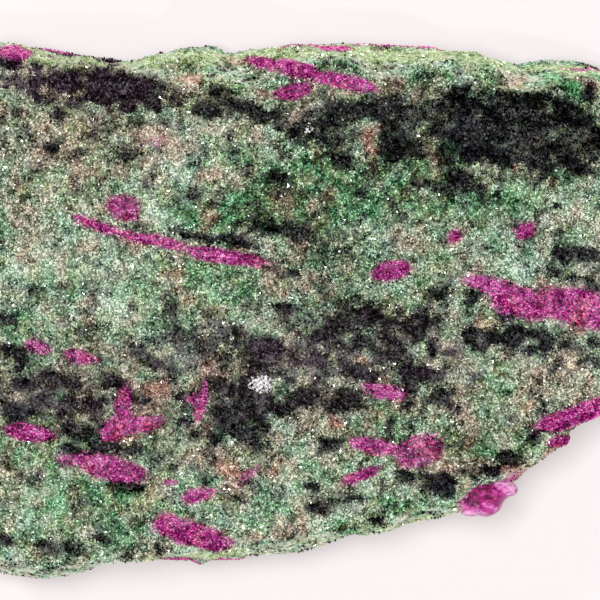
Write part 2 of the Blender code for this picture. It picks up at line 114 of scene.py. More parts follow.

# %% [markdown]
# ## A map of the minerals
#
# Each mineral lies in patches that follow the streaks of the rock. A patch is written as a
# stretched spot: its middle, half length and half width in millimetres, then its strength and
# its turn in degrees. The last two may be left out: the patch then has full strength and lies
# along the streaks. Spots drawn one by one are easy to change. Painting an image would be the other
# way, but an image cannot follow the sides and the underside, and these spots can.
#
# Hornblende comes first: the black band near one edge, and the broken streaks through the
# middle. The weak patches at the head of the list are wide ones. They only sprinkle black grains
# over the rock between the others.

# %% Patches of black hornblende: x, y, half length, half width, strength, turn
HORNBLENDE = [
    (-24, -9.5, 6, 3.4, 0.4), (-12, -4, 5, 2, 0.32), (-4, -5.5, 6, 3.4, 0.38),
    (-8.5, -9, 3, 2.4, 0.36, 0), (6, -3.5, 8, 3.8, 0.34), (-22, 22.2, 8, 2.2, 0.36, -10),
    (20, 17.5, 12, 3.2, 0.74, -6), (2, 18.6, 4, 2, 0.25), (-8, 19.9, 6, 1, 0.3, -10),
    (23, -3.4, 7, 1.6, 0.3, -12), (-7.6, 21.4, 2.2, 0.8, 0.5), (-35, 20.6, 3, 1.4), (-36, 6, 3.4, 1.1),
    (-36.5, -6.2, 3, 1.4), (37, -1, 2.2, 1), (35, 20, 3, 1.2), (38, 6, 2.6, 0.8), (33, 15.8, 3.4, 2.2),
    (36, 13.8, 3.2, 1.8), (32.6, -6.4, 1.8, 0.7), (-29.3, 24.6, 1.4, 0.6), (-26.4, 22.5, 0.8, 1.1),
    (-28.2, 22.8, 0.5, 0.9), (-23.6, 22.6, 1.6, 1.1), (-20.2, 22.6, 1, 1.6), (-18.8, 24.2, 1.2, 0.5),
    (-18.3, 21.6, 1.1, 1.6), (-17.2, 20.3, 1.2, 1), (-16, 21.6, 1.3, 1.3), (-15, 20.9, 1, 1.2, 1, -40),
    (-14.2, 19.9, 0.6, 0.4), (-25.5, 20.9, 1, 0.4), (-21, 21, 0.8, 0.5), (-12.4, 20.5, 0.9, 0.5),
    (-9.5, 19.5, 1.4, 0.7), (-6.5, 20.2, 1.6, 0.5), (-4.8, 19.8, 1.2, 0.6), (-3.6, 18.9, 1.2, 0.6),
    (-2.2, 18.4, 1.4, 0.6, 0.7), (-0.6, 17.4, 0.9, 1, 0.6), (-24.2, 18.9, 0.9, 0.45, 0.7),
    (-24.8, 15.9, 0.6, 0.7, 0.7), (-20.8, 16.8, 1, 0.5, 0.6), (-29.7, 16.3, 0.5, 0.4),
    (-17.6, 14.9, 0.5, 0.5), (-10.6, 14.2, 0.8, 0.35), (-28.4, 19.2, 0.5, 0.4), (-2.2, 13, 1.5, 0.7, 0.6),
    (-10.6, 11, 0.8, 0.6, 0.6), (-7, 17.2, 0.4, 0.3), (4.6, 19.6, 2, 0.7), (6.5, 19.9, 1.4, 0.5),
    (3.4, 18.2, 1.6, 1.3), (3, 17, 1.2, 0.9), (8.6, 19, 1.4, 0.9), (9.6, 17.4, 1.8, 1.3),
    (9.2, 15.6, 1.6, 1), (11.4, 16.8, 1.2, 1.2), (11.8, 15.3, 1, 0.6), (13.8, 17.5, 1.8, 0.7),
    (15.5, 17.2, 1.4, 0.6), (17, 18.5, 1.4, 0.9), (18, 16.4, 2.2, 1.2), (17, 15.3, 1.2, 0.6),
    (19.2, 19, 1.6, 1.4), (21, 20.6, 1.4, 1.2), (22.4, 19.6, 2, 1.6), (24, 20.8, 1.6, 1),
    (24.6, 18.4, 1.8, 1.4), (21.4, 17.4, 2, 1), (26.4, 19.8, 1.2, 1.2), (28.2, 18.4, 1.6, 1.4),
    (30, 17, 1.6, 1.5), (23.8, 14.6, 2.6, 0.75), (27, 14.8, 1.6, 1), (28, 13.9, 2, 0.7),
    (25.6, 15.6, 1.2, 0.7), (28.8, 15.4, 1.4, 1), (10.6, 19.7, 1.4, 0.3), (14, 19.8, 1.4, 0.6),
    (15.6, 20.8, 1.2, 0.9), (16.2, 21.8, 0.8, 0.5), (17.6, 20.2, 1.4, 0.6), (29.2, 21.8, 0.6, 1),
    (19.3, 13.1, 1.4, 0.35), (16, 13.2, 1.4, 0.6), (13.8, 12, 1.4, 0.6), (16.4, 12.3, 1.2, 0.5),
    (11.9, 12.4, 0.7, 0.3), (5.8, 11, 0.6, 0.4, 0.6), (4.6, 14.6, 1.2, 0.8), (25.8, 10.3, 0.5, 0.3),
    (0.8, 17.6, 0.9, 0.9), (20.2, 15.2, 1.2, 0.8), (-1.8, 7.6, 3, 0.9, 1, -12),
    (-8.5, 6.9, 4.4, 0.35, 1, -8), (-0.8, 3.3, 0.8, 0.5), (-17, 0.3, 0.5, 0.4, 0.5),
    (-12.5, -0.2, 1, 0.6, 0.5), (-12, -2.4, 0.6, 0.5), (-8.8, -1, 0.8, 0.5), (-1.4, -0.2, 1.2, 0.5),
    (-3, -4.4, 2, 1.2), (-5.6, -4, 1.2, 0.5), (-16, -4.2, 0.8, 0.4), (-15.2, -5.4, 1.2, 0.6),
    (-29, -4.4, 1.2, 0.5), (-28, -5.6, 0.6, 0.8), (-29.3, -1.2, 1, 0.4), (-24.5, -7.2, 1.6, 0.6),
    (-22.6, -8, 1, 0.5), (-18.8, -7.4, 1.2, 0.5), (-27.5, -7.8, 1.5, 0.8), (-7.5, -8.2, 1.2, 0.8),
    (-5.5, -7.8, 0.8, 0.6), (-4.5, -9.2, 1.8, 0.7), (13.6, 1.3, 0.9, 0.6), (26.2, 5.2, 0.9, 0.7),
    (28.8, 5.2, 1.4, 0.4), (27, 3, 1.5, 0.5), (29, 2.4, 1.2, 0.5), (17.2, 0.9, 0.9, 0.7),
    (12.4, -1.2, 1.2, 1.2), (11.6, -2.6, 1.2, 0.8), (6.4, -1.2, 1.4, 1), (8.8, -1.6, 1.2, 0.6),
    (4, -1.6, 1.6, 0.8), (3.2, -2.6, 1, 0.8), (4, -4, 1, 0.8), (6.4, -3.6, 1.2, 0.8), (9.4, -3.4, 1, 0.5),
    (1.6, -5, 1.4, 0.5, 1, -25), (6, -6.6, 1.6, 0.5), (9, -5.4, 0.8, 0.4), (11, -6.8, 1.4, 0.8),
    (12.8, -6.8, 1.2, 0.6), (14.2, -8.6, 1, 0.6), (10.8, -8.2, 0.8, 0.8), (17, -2.6, 1, 0.5),
    (19.3, -3, 1.2, 0.8), (20.6, -1.2, 0.9, 0.5), (21.6, -2.8, 1, 0.8), (24.4, -3.4, 1.6, 0.7),
    (26.6, -4, 1.4, 0.6), (22.9, -4.4, 0.6, 0.4), (29.6, -3.6, 0.8, 0.4), (18.2, -4, 0.8, 0.5),
    (0.6, -8.9, 1.4, 0.9), (4.6, -9.2, 1.6, 0.9), (2.6, -9.8, 1.4, 0.7), (13.2, -4.4, 0.6, 0.8),
    (-28, -10.4, 1.7, 1.1), (-25.8, -9.4, 1.4, 0.6), (-22.4, -12.3, 1.4, 1),
    (-20.8, -10.3, 1.1, 1.2, 1, 20), (-22.4, -14.3, 1.4, 0.5), (-20.4, -14, 1.2, 0.35, 1, -8),
    (-17.6, -14.2, 1.7, 0.4, 1, -2), (-15.6, -9.4, 1, 0.35, 1, -5), (-7.4, -11, 1.6, 1.3),
    (-5.2, -10.6, 1.6, 1.3), (-4, -12.6, 1.3, 1.1), (-6.4, -12.4, 1.4, 0.9), (-2.6, -10.2, 1.3, 0.6),
    (-0.9, -9.6, 1, 0.6), (-10.6, -13, 0.5, 0.5), (-11.5, -11.5, 0.6, 0.4), (-4.4, -13.7, 1.1, 0.6),
    (-8.6, -13.1, 0.6, 0.5), (-17.4, -17.9, 1.5, 0.35), (-15.9, -18, 0.5, 0.3),
    (-29.3, -23.5, 1, 0.6, 0.7), (-25, -24.4, 1.5, 0.6, 0.7), (-22.9, -24.3, 0.9, 0.6, 0.7),
    (-19.8, -23.1, 1, 0.5, 0.7), (-8, -24.4, 0.5, 0.25, 1, 0), (-14.2, -24.5, 0.35, 0.7, 1, 0),
    (-6, -19.4, 0.7, 0.3), (-29.4, -16, 0.6, 0.4), (-12, -9.2, 0.8, 0.4), (9.1, -11.6, 0.4, 1.2, 1, -10),
    (11, -9.8, 0.7, 0.5), (13.8, -9.5, 1.6, 0.5), (15.6, -10.4, 0.5, 0.3), (13.8, -17.7, 1.7, 1.1),
    (11, -17.3, 1.2, 0.6), (14.5, -18.6, 0.9, 0.6), (12.4, -18.1, 0.8, 0.6), (1.2, -18, 1, 0.4),
    (1.4, -20.1, 1.1, 0.5), (6, -19.2, 1.2, 0.35), (21.2, -15.3, 1.6, 0.6), (17, -16.9, 1.3, 0.4),
    (19.2, -16.6, 1, 0.6), (23.4, -13, 0.5, 0.4), (7.6, -21.4, 0.7, 0.25, 1, 0), (14.2, -13.6, 0.3, 0.8),
    (3.4, -13.8, 0.7, 0.4), (10.4, -16.8, 0.8, 0.3),
]
print("hornblende patches:", len(HORNBLENDE))

# %% [markdown]
# The green is not even. A trace of chromium makes some of the zoisite vivid green, and in other
# patches it is pale and minty. These lists change only the hue: light and dark grains lie side
# by side in both.

# %% Patches of vivid and of pale green
VIVID = [
    (-0.6, 9.8, 5, 2.6, 0.9, -10), (-20, -20, 9, 4.5, 0.32, -10), (3, 13, 11, 3, 0.55, -12),
    (12, 11.3, 15, 2.6, 0.75, -3), (-1, 11, 5, 3, 0.9, -8), (-7, 8.8, 7, 1.5, 0.5),
    (-11, 2, 6, 2.5, 0.4, -10), (-23, -15.5, 8, 5, 0.3, -12), (11, -13, 8, 2, 0.35, -8),
    (-8, 25.4, 7, 0.8, 0.55, 0), (6, 25.4, 8, 0.8, 0.5, 0), (20, 25, 9, 0.9, 0.6, -3),
    (28, 24, 4, 0.9, 0.6, -10), (-36, 14, 4, 2, 0.6), (35, 10, 4, 1.6, 0.7), (-35, -14, 4, 2, 0.6),
    (32, 9, 3, 2, 0.4), (-23, 11, 1.8, 0.9, 0.6), (-26.8, 12.8, 1.3, 1.1, 0.6),
    (-12.6, 10.8, 1.5, 1.3, 0.8), (-10, 9, 2.6, 1.3, 0.9), (-4.5, 11, 2.6, 2, 0.9), (-2, 13, 3.2, 2, 0.9),
    (3, 12.8, 4, 2.4, 0.95), (8, 11.4, 4.4, 2.4, 0.95), (5, 10, 4.5, 1.6, 0.8),
    (12.4, 13.6, 2.4, 0.8, 0.8), (14.8, 14.7, 3, 0.55, 0.9), (20.6, 11.5, 1.7, 0.5, 0.9),
    (18, 24.9, 2.8, 0.7, 0.8), (23.5, 24.2, 2, 0.6, 0.6), (26, 23, 1.5, 1.1, 0.9), (27.8, 21.8, 1.4, 0.8),
    (11.6, 22.8, 1.1, 0.9, 0.8), (13.6, 23.6, 2, 0.7, 0.6), (-8.5, 3.2, 2.6, 1.6, 0.55),
    (-6.4, 2, 2, 1, 0.6), (-28, -2.6, 2, 1, 0.7), (-27, -1, 1.6, 0.8, 0.8), (-24, -9, 0.9, 0.7, 0.9),
    (-19, -2.8, 2, 0.8, 0.5), (10.4, 0.4, 1.5, 1.1, 0.7), (19.6, -6, 1.4, 1.3, 0.6),
    (20.5, -8.6, 1, 0.8, 0.6), (22.6, 5.2, 0.9, 0.7, 0.6), (14.8, 16, 1.7, 0.6, 0.9),
    (24.6, 16.2, 1.5, 0.5, 0.9), (-11.4, 24.8, 3.4, 0.8, 0.6), (-6.4, 21.9, 1.6, 0.9, 0.6),
    (-24, 2.2, 3, 1.4, 0.4), (-25, -15.4, 1.6, 0.7, 0.5), (-25, -19.6, 1.8, 0.9, 0.7),
    (-22, -17.6, 1.2, 0.8, 0.8), (-18.4, -19.5, 1.8, 1, 0.7), (-23, -22, 1.6, 1.1, 0.8),
    (-26.6, -20.6, 1, 0.8, 0.5), (-9.3, -17.5, 0.6, 0.5, 0.8), (-5.4, -21.4, 1.8, 0.8, 0.6),
    (-18.8, -24.4, 1.4, 0.8, 0.6), (-13.6, -20.2, 2.6, 0.7, 0.6), (-20.6, -21.4, 1.6, 0.8, 0.7),
    (-16, -21.2, 1.6, 0.9, 0.5), (-22.6, -18.7, 1.1, 0.5), (8, -11, 1.1, 1.3, 0.8),
    (5, -12.5, 1.4, 0.6, 0.6), (9, -19.6, 2.2, 0.5), (11, -20.6, 3.4, 0.6, 0.8),
    (6, -22.5, 2.6, 0.8, 0.7), (3.6, -20.6, 1.6, 0.6, 0.4), (24.3, -16.2, 0.9, 0.5, 0.8),
    (24, -14, 1.1, 0.5, 0.4), (18.2, -14.6, 3, 0.7), (15.6, -14.2, 1.2, 0.8, 0.8),
    (0.6, -15.6, 1, 1.2, 0.5), (-0.6, -20.2, 2, 0.8, 0.5), (14.4, -20, 2.2, 0.5, 0.6),
]
PALE = [
    (22, 8, 8, 4, 0.5, -10), (-23, 1, 7, 4, 0.4, -10), (-20, 10, 5, 3, 0.3, -20),
    (-14, 11.5, 2.4, 3, 0.6, -20), (-36, 0, 3, 2.4, 0.7), (36.5, 5, 3.4, 2, 0.6),
    (-14, 10.4, 1.4, 1.6, 0.9), (-12.8, 14, 0.9, 0.9, 0.8), (-11.6, 12.4, 1, 0.5, 0.8),
    (-22.8, 12.3, 1.4, 1, 0.6), (-27.2, 14.2, 1, 0.8, 0.7), (-2.5, 16.3, 1, 0.7, 0.7),
    (-12, 25.2, 4.4, 0.7, 0.9), (-6.4, 21.8, 1.8, 1, 0.6), (2.4, 19.3, 1.6, 1.2, 0.6),
    (5.5, 20.6, 2.2, 0.5, 0.7), (4, 25.2, 2.6, 0.6, 0.9), (11.6, 13.8, 1.2, 0.7, 0.6),
    (29.2, 11, 1.7, 1.5, 0.8), (-25.2, 7.8, 1.8, 1, 0.6), (-15.2, 9.6, 1, 1.4, 0.8),
    (-24, 2.4, 2.4, 2, 0.6), (-18, 1.4, 1.8, 0.8, 0.6), (-10, 1, 0.8, 1.5, 0.7),
    (-3.6, -1, 0.4, 1.6, 0.7), (18, 5.2, 1.6, 1.2, 0.7), (22, 4.8, 1.8, 1, 0.7), (13.6, 3, 1.6, 0.8, 0.6),
    (15.4, -2.8, 1.2, 1.6, 0.7), (1.4, -6.6, 1.1, 1, 0.8), (12, 25.2, 4, 0.5, 0.8),
    (20.5, 24.9, 4, 0.5, 0.7), (27, 24.1, 2.4, 0.5, 0.7), (-20, 25.3, 3.4, 0.4, 0.6),
    (22, 8.8, 4, 1.8, 0.5), (26.5, 7.4, 2.4, 1.2, 0.5), (18, 9.4, 2.4, 1, 0.5),
    (-0.8, -11.6, 1.1, 0.9, 0.9), (-0.1, -15.2, 0.9, 1.3, 0.9), (-25.5, -22.4, 1, 0.9, 0.8),
    (-10.3, -20.4, 1.8, 0.7, 0.8), (-13, -18.7, 0.8, 0.7, 0.8), (-9.4, -19.8, 1.4, 0.5, 0.6),
    (-18, -26, 9, 0.6, 0.8), (-7, -25, 6, 0.7, 0.9), (12, -21.6, 3.6, 0.6, 0.8), (4, -23.4, 4, 0.6, 0.7),
    (15, -21, 1.3, 0.5, 0.9), (20.7, -11.4, 1.2, 0.9, 0.8), (-0.4, -24.2, 1.6, 0.5, 0.7),
    (29.6, -6.6, 1.4, 1.4, 0.6), (-26, -26.6, 4, 0.5, 0.7),
]
print("green patches:", len(VIVID) + len(PALE))

# %% [markdown]
# In the warm patches tan feldspar is mixed into the green, grain by grain. In a few small spots
# it is nearly pure and salmon pink.

# %% Patches of warm rock and of pink feldspar
WARM = [
    (-22, 22.4, 9, 2.6, 0.75, -8), (-3, -7, 10, 4.4, 0.45, -10), (-24, -9.5, 7, 4, 0.45),
    (9, -4, 8, 4.4, 0.3), (-24, 15.5, 9, 5, 0.58), (-4, -15.5, 6, 2, 0.45), (-19, -7.5, 8, 5, 0.35),
    (-36, -3, 4, 1.8, 0.6), (36, 16.6, 3, 1.4, 0.6), (-24, 17, 5, 2, 0.55), (-16, 17, 3, 1.5, 0.7),
    (-20.5, 18.6, 1.6, 0.8, 0.6), (-6, 17.5, 2.6, 1.4, 0.6), (-7.5, 12.6, 2.4, 1.4, 0.5),
    (-26.3, 24.6, 2.5, 0.5, 0.6), (-21.7, 23, 1.2, 0.6, 0.5, -40), (9, 22, 1.9, 1.5, 0.8),
    (12.6, 21.5, 2.4, 0.8, 0.6), (20.8, 23.2, 2, 0.8, 0.6), (-27.4, 5.2, 0.9, 0.8, 0.6),
    (-12.4, 3, 1, 0.8, 0.5), (-28, 9, 2, 1.5, 0.5), (-12, -3, 2, 1, 0.55), (-19.5, -4, 1.5, 1, 0.5),
    (-9.5, -3, 1.6, 1, 0.5), (25, -7, 5, 2.2, 0.5), (24, -10, 4, 1.6, 0.45), (6.4, 21.2, 2.2, 0.8, 0.5),
    (13.5, 18.9, 1.6, 0.35, 0.9), (29.4, 22.3, 0.6, 0.9, 0.7), (-12.2, -8.4, 1.8, 1.6, 0.6),
    (-9, -12.5, 0.9, 1, 0.5), (-24.6, -10.4, 1.8, 0.7, 0.4), (-28.4, -15.6, 1.2, 0.8, 0.4),
    (-29.2, -21, 1, 1.6, 0.4), (-24.6, -13.2, 0.7, 0.4, 0.5), (-8, -15.2, 2, 0.9, 0.6),
    (-4.4, -16.4, 2.4, 0.8, 0.5), (-1.6, -22.4, 1.8, 1, 0.5), (-4.6, -23.4, 1.6, 0.6, 0.4),
    (14, -10.8, 4, 2, 0.45), (18, -12, 3, 1.2, 0.45), (3, -12.4, 1.8, 0.7, 0.5),
    (11.6, -16.4, 1.6, 0.4, 0.5), (16.2, -16, 2, 0.6, 0.8), (20.6, -16, 2.2, 0.8, 0.9),
    (22.6, -16.6, 1.2, 1, 0.8, 30), (25.6, -14.8, 2, 0.5, 0.8, 40), (4, -18.4, 2.4, 0.7, 0.5),
    (8.6, -17.6, 1.4, 0.8, 0.6), (27.6, -13, 1.4, 0.6, 0.8, 45), (-14.8, -12, 1.6, 0.8, 0.5),
    (0.4, -22.6, 1.2, 0.8, 0.4), (-23.4, -20.8, 0.8, 0.6, 0.3), (-3, -3, 1.2, 0.5, 0.3),
    (12, -23, 2, 0.3, 0.4, 14),
]
FELDSPAR = [
    (34, 17, 1.2, 0.8, 0.8), (-36, 9, 1.4, 0.8, 0.8), (-10.9, 22.9, 1.2, 0.6, 0.9),
    (-3.3, 21.2, 1.2, 0.7, 0.8), (-7, 25.2, 1.4, 0.5, 0.8), (-13.8, 20.9, 0.8, 0.5, 0.7),
    (6.8, 17.2, 1.1, 0.9, 0.9), (7.2, 15.8, 0.7, 0.5), (16.2, 19.6, 0.9, 0.5, 0.7),
    (21.8, 15.7, 0.7, 0.6, 0.8), (21.7, 13.6, 0.45, 0.8, 0.8, 0), (29.4, 22.4, 0.5, 0.9, 0.8),
    (12.2, 12.5, 0.5, 0.3, 0.8), (-14.3, -8.3, 1.5, 0.95, 1, -4), (-19.2, -6.3, 0.8, 0.4, 0.8),
    (-0.4, -5.2, 1.1, 0.9, 0.9), (16.6, -8.3, 1, 0.7, 0.9), (6.4, -5.6, 0.9, 0.4, 0.8),
    (8.6, -7.2, 1, 0.4, 0.8), (24.8, 2.3, 1.2, 0.4, 0.8), (27.8, -2.3, 1, 0.6, 0.8),
    (18.4, -1.6, 1.2, 0.5, 0.8), (-16.4, 6.3, 2.2, 0.3, 0.7), (-17.2, -13.2, 1.9, 0.45, 1, 4),
    (-7.6, -16, 1.2, 0.9), (-6, -16.7, 0.9, 0.5), (-29.4, -23, 0.8, 0.4, 0.8, -40),
    (-9.2, -11.9, 0.5, 1, 0.6, 0), (-2, -22.5, 0.8, 0.7, 0.5), (-12.2, -10.8, 0.9, 0.5, 0.5),
    (3.4, -11.6, 1, 0.6, 0.7), (14.8, -16.4, 1.2, 0.5, 0.7), (20.9, -16.1, 1.2, 0.5, 0.7),
    (8.4, -17.3, 1, 0.6, 0.4), (12.4, -21.9, 0.7, 0.25, 0.7, 0), (25.6, -14.5, 1.3, 0.45, 0.8, 35),
    (22.5, -17.3, 1, 0.5, 0.7, 40), (-24.6, -13.3, 0.5, 0.4, 0.6), (-3, -16.4, 0.9, 0.6, 0.5),
    (-11, -12.1, 0.7, 0.3, 0.8), (20.8, -12.4, 0.8, 0.4, 0.4), (-13, -10.4, 0.8, 0.4, 0.6),
    (10.6, -15.9, 0.5, 0.4, 0.5), (-16, -11.4, 5, 3, 0.3),
]
print("warm and feldspar patches:", len(WARM) + len(FELDSPAR))

# %% [markdown]
# Five short lists finish the map. A thin rind of yellow-green rock runs along the rim and
# keeps the black off it. Some of the hornblende is plum instead of black. Whole areas of the
# break are lighter or darker than others, whatever mineral they hold. And there are two white
# spots of calcite, one of them tiny.

# %% The rind, the plum areas, the light and dark areas, and the calcite
RIND = [
    (-24.5, 24.6, 4.6, 0.5, 0.85, -9), (-23, 25.9, 7, 1.2, 1, -6), (-12, 25.2, 5.5, 0.9, 1, 4),
    (-2, 25.7, 7, 0.8, 0.9, 0), (9, 25.6, 8, 0.9, 1, -2), (20, 25.1, 7, 0.9, 1, -3),
    (28, 24.3, 4, 0.8, 0.9, -8), (-6, -25.3, 8, 0.6, 0.7, 0), (10, -22.4, 7, 0.5, 0.6, 12),
]
PLUM = [
    (-22, 22, 10, 3, 1, -8), (-3, -6, 9, 5, 0.75), (10, -4, 8, 4, 0.5), (-18, -8.5, 9, 4.4, 0.7),
]
BRIGHT = [
    (-20, 2.6, 7, 2.6, 0.5), (-14, 10.6, 3, 2.2, 0.5), (-6, -1.4, 8, 2, 0.5, -10),
    (0, -4.6, 3.2, 3, 0.8, -10), (14, -5.4, 5, 2, 0.5), (6, -6.4, 5, 1.8, 0.6, -10), (25, -5, 5, 2, 0.5),
    (28, 8, 3, 4.5, 0.4, 0), (-26, -19.6, 4.6, 4, 0.5, 0), (-12, -17.4, 2.4, 2, 0.35, 0),
    (1, -18.6, 4, 4, 0.4, 0), (12, -13, 3, 1.6, 0.3, 0), (0, 18.4, 2, 2, 0.3, 0),
    (-25, 9, 3, 2.5, 0.15, 0), (24, -1.8, 4, 1.4, 0.3, -12), (-27, -9.4, 3.6, 2, 0.7),
    (-12.4, -5.6, 2.6, 1.8, 0.8), (-28, 22.6, 2.6, 1.5, 0.7, -10), (-11, 14.6, 5, 1.8, 0.5),
    (16, 18.6, 2, 1.4, 0.6), (13.6, -17.6, 2.6, 1.6, 0.5),
]
DULL = [
    (1.5, 9.4, 10, 3.4, 0.27, -10), (4, 4.6, 5, 1.6, 0.4, -10), (-4, 22.8, 2.6, 1.2, 0.6, -10),
    (21, 20.6, 7, 2, 0.45, -8), (8, 14.6, 6, 1.6, 0.45, -10), (28, -13.4, 2.4, 2, 0.9, 20),
    (15.6, -13.2, 2.6, 1.6, 0.5, 0), (-4.4, -17.6, 2.4, 1.6, 0.45, 0), (24, -17, 2, 1.4, 0.5, 30),
]
CALCITE = [(-3.9, -7.8, 1.1, 0.75, 1, -10), (0.85, 17.7, 0.3, 0.3, 1, 0)]
print("rind, plum, light and dark areas:", len(RIND), len(PLUM), len(BRIGHT), len(DULL))

# %% [markdown]
# ## The rubies
#
# The rubies are the pink blades, most of them cut lengthwise by the break. In the solid each
# large one is a low six-sided plate. Their colour follows the same outlines, so the first list
# repeats the solid's own places, and a blade of uneven shape is two spots that overlap. The ones
# on the sides are given by their direction from the middle and their height. A few lie flat in
# the underside, where only their colour shows.

# %% Ruby crystals: x, y, half length, half width, strength, turn
TOP_RUBIES = [
    (-4, 24.9, 2.3, 0.65, 1, -18), (-0.4, 23.8, 2.6, 0.85, 1, -16), (4.2, 22.5, 3.7, 0.75, 1, -12),
    (-0.7, 21.5, 1.9, 0.8, 1, 10), (-20.2, 8.1, 2.6, 0.45, 1, -20), (-14.6, 6.6, 3.8, 0.55, 1, -12),
    (-7.4, 5, 4.2, 0.78, 1, -10), (-17.6, 9.9, 1.7, 1.3, 0.85, -25), (-26.2, -4, 1.4, 0.55, 0.8),
    (-22, -5, 1.7, 0.6, 0.9), (9.1, 3.6, 2, 0.9, 1, 10), (22.5, 7.6, 0.95, 0.8, 1, 0),
    (15.5, 6.9, 0.75, 0.65, 0.95, 0), (20.6, 1.6, 4.4, 0.95, 1, -16), (22.6, 0.2, 3.4, 1.35, 1, -10),
    (28.9, -0.3, 5.6, 1.85, 1, -13), (8.5, -8.5, 2.2, 0.75), (7.5, -14, 2.5, 0.8, 1, -12),
    (6.1, -16.9, 2, 0.62, 1, 20), (11.9, -14.5, 2.4, 1.6, 0.75, 15), (-16.7, -11.9, 3.2, 0.8, 1, 8),
    (-18.3, -12.1, 1.8, 1.1, 1, 35), (-17.7, -9.8, 2.1, 0.8, 0.9, 84), (-9.8, -9.4, 2.2, 0.45, 0.9, 76),
    (-10.7, -9.2, 0.7, 0.5, 0.8, 0), (-27, -12.6, 2.5, 0.9, 1, -8), (-19, -16.1, 3.7, 1.25),
    (-23.2, -15.4, 1.4, 0.5, 0.6, -10), (-10.2, -18.9, 1.6, 0.7, 0.9, 12),
    (-13, -17.6, 0.6, 0.25, 0.9, 0), (-10.8, -22.8, 4, 1.25, 1, -17), (-12.8, -22, 1.8, 1.2, 1, -25),
    (26.4, -11.4, 3, 1, 1, 14), (29.4, -10.5, 2.2, 1.25, 1, 14), (26.1, -13.6, 1.2, 0.7, 0.95, 10),
    (-28.8, 25.8, 1.8, 0.9, 0.9, -10), (3.6, 26.3, 2, 0.3, 0.9, -2), (25.5, 24.9, 1.5, 0.25, 0.7, -4),
    (19, -19.4, 2.9, 1.5, 1.2, 20), (21.2, -18, 2, 0.9, 0.8, 24), (-5.2, -17, 1.4, 0.5, 0.45, 40),
    (-14.6, 16.4, 0.9, 0.4, 0.35, -10), (34.5, -3.4, 2.2, 1, 0.9, -10), (-36.2, -10, 2.6, 0.9, 0.9),
    (-34, 3, 2.4, 0.7, 0.9), (35.5, 18.4, 2, 0.8, 0.9),
]
SIDE_RUBIES = [  # direction in degrees and height, then the same numbers from half length on
    (8, 11, 4.3, 1.3, 1, 24), (-20, 6, 2.5, 1, 1, -10), (172, 10, 4.9, 1.2, 1, -22),
    (196, 13, 2.3, 0.9, 1, 8), (-112, 9.5, 5.1, 1.1, 1, 12), (-78, 7, 2.3, 0.95, 1, -18),
    (70, 9, 4.7, 1.2), (112, 4.4, 2.7, 1, 1, 10), (40, 10, 2, 0.8, 0.9), (-140, 7, 2.6, 0.9, 0.9, 14),
    (135, 5, 2, 0.8, 0.9, -12), (90, 12.5, 2.2, 0.5, 0.9, -8),
]
UNDER_RUBIES = [
    (-18, 9, 6, 1.2), (6, -6, 5, 1, 1, -20), (20, 10, 3.6, 1.1, 1, -8), (-10, -12, 3, 1, 1, 6),
    (-28, -6, 2.6, 0.8), (2, 15, 2.4, 0.8, 1, -30),
]
print("rubies:", len(TOP_RUBIES) + len(SIDE_RUBIES) + len(UNDER_RUBIES))

# %% [markdown]
# ## From the patches to any point of the rock
#
# `patch_share` says how deep inside a patch each point lies: 1 in the middle, 0 outside, with a
# soft edge. Real patches are made of clumps of grains. `clumped` therefore adds noise of
# several sizes to a share and cuts the sum off, which leaves holes in a patch and specks
# outside it. `tinted` does the same more gently, for the shades of one mineral, which blend.
# Both stay smooth over about half a millimetre, because grains of one hue lie together: a hue
# chosen anew for each grain would look like confetti.

# %% Noise, patches and clumps
SOFT_EDGE = 0.50            # width of a patch's edge, as a share of its size
USUAL = (1.0, FOLIATION_TURN)                   # strength and turn, where a patch leaves them out
CLUMPS = ((2.2, 0.60), (1.0, 0.55), (0.55, 0.40))             # wavelength, mm, and strength
CLUMP_EDGE = 0.42           # how gradually a clump begins
TINTS = ((2.6, 0.60), (1.2, 0.55))                            # the same, for shades
TINT_EDGE = 0.50


def noise_at(points, wavelength, shift):
    """Smooth noise from about -1 to 1 at points in millimetres; `shift` picks another pattern."""
    scaled = (points / wavelength + shift).tolist()
    return np.array([noise.noise(place) for place in scaled])


def layered(points, waves, moved=0):
    """Noise of several wavelengths, added up; each row of `waves` ends with its own shift."""
    return sum(strength * noise_at(points, wavelength, shift + moved)
               for wavelength, strength, shift in waves)


def stretched_distance(x, y, length, width, turn):
    """Distance from the middle of a stretched spot, where 1 is its edge."""
    turn = math.radians(turn)
    along = (x * math.cos(turn) + y * math.sin(turn)) / length
    across = (y * math.cos(turn) - x * math.sin(turn)) / width
    return np.sqrt(along ** 2 + across ** 2)


def patch_share(x, y, patches, edge, below=0.0):
    """The strongest patch's share at each point, from 0 to 1; `below` makes patches taper."""
    share = np.zeros(len(x))
    for middle_x, middle_y, length, width, *rest in patches:
        strength, turn = [*rest, *USUAL[len(rest):]]
        distance = stretched_distance(x - middle_x, y - middle_y, length, width, turn)
        distance = np.sqrt(distance ** 2 + below ** 2)
        inside = np.clip((1 + edge - distance) / (2 * edge), 0, 1)
        share = np.maximum(share, strength * inside * inside * (3 - 2 * inside))
    return share


def clumped(share, points, shift, waves=CLUMPS, edge=CLUMP_EDGE):
    """Breaks a share into clumps, with holes inside a patch and a few specks outside it."""
    clouds = sum(strength * noise_at(points, wavelength, shift + 7 * wavelength)
                 for wavelength, strength in waves)
    return np.clip(0.5 + (share - 0.5 + clouds) / (2 * edge), 0, 1)


def tinted(share, points, shift):
    """The same for shades of one mineral, which blend more gently."""
    return clumped(share, points, shift, TINTS, TINT_EDGE)


print("clumps, mm:", [wavelength for wavelength, strength in CLUMPS])

# %% [markdown]
# `minerals_at` asks every list. The points are first pushed about by smooth noise, so that no
# outline is a clean curve. A patch runs straight down the sides, and below the widest outline it
# follows the slant of the streaks onto the underside. The rubies are single crystals, so their
# edges are sharper and are pushed about less, and below the rim they narrow and end, as
# crystals do, instead of running on down the side. A faint ring of feldspar surrounds them.

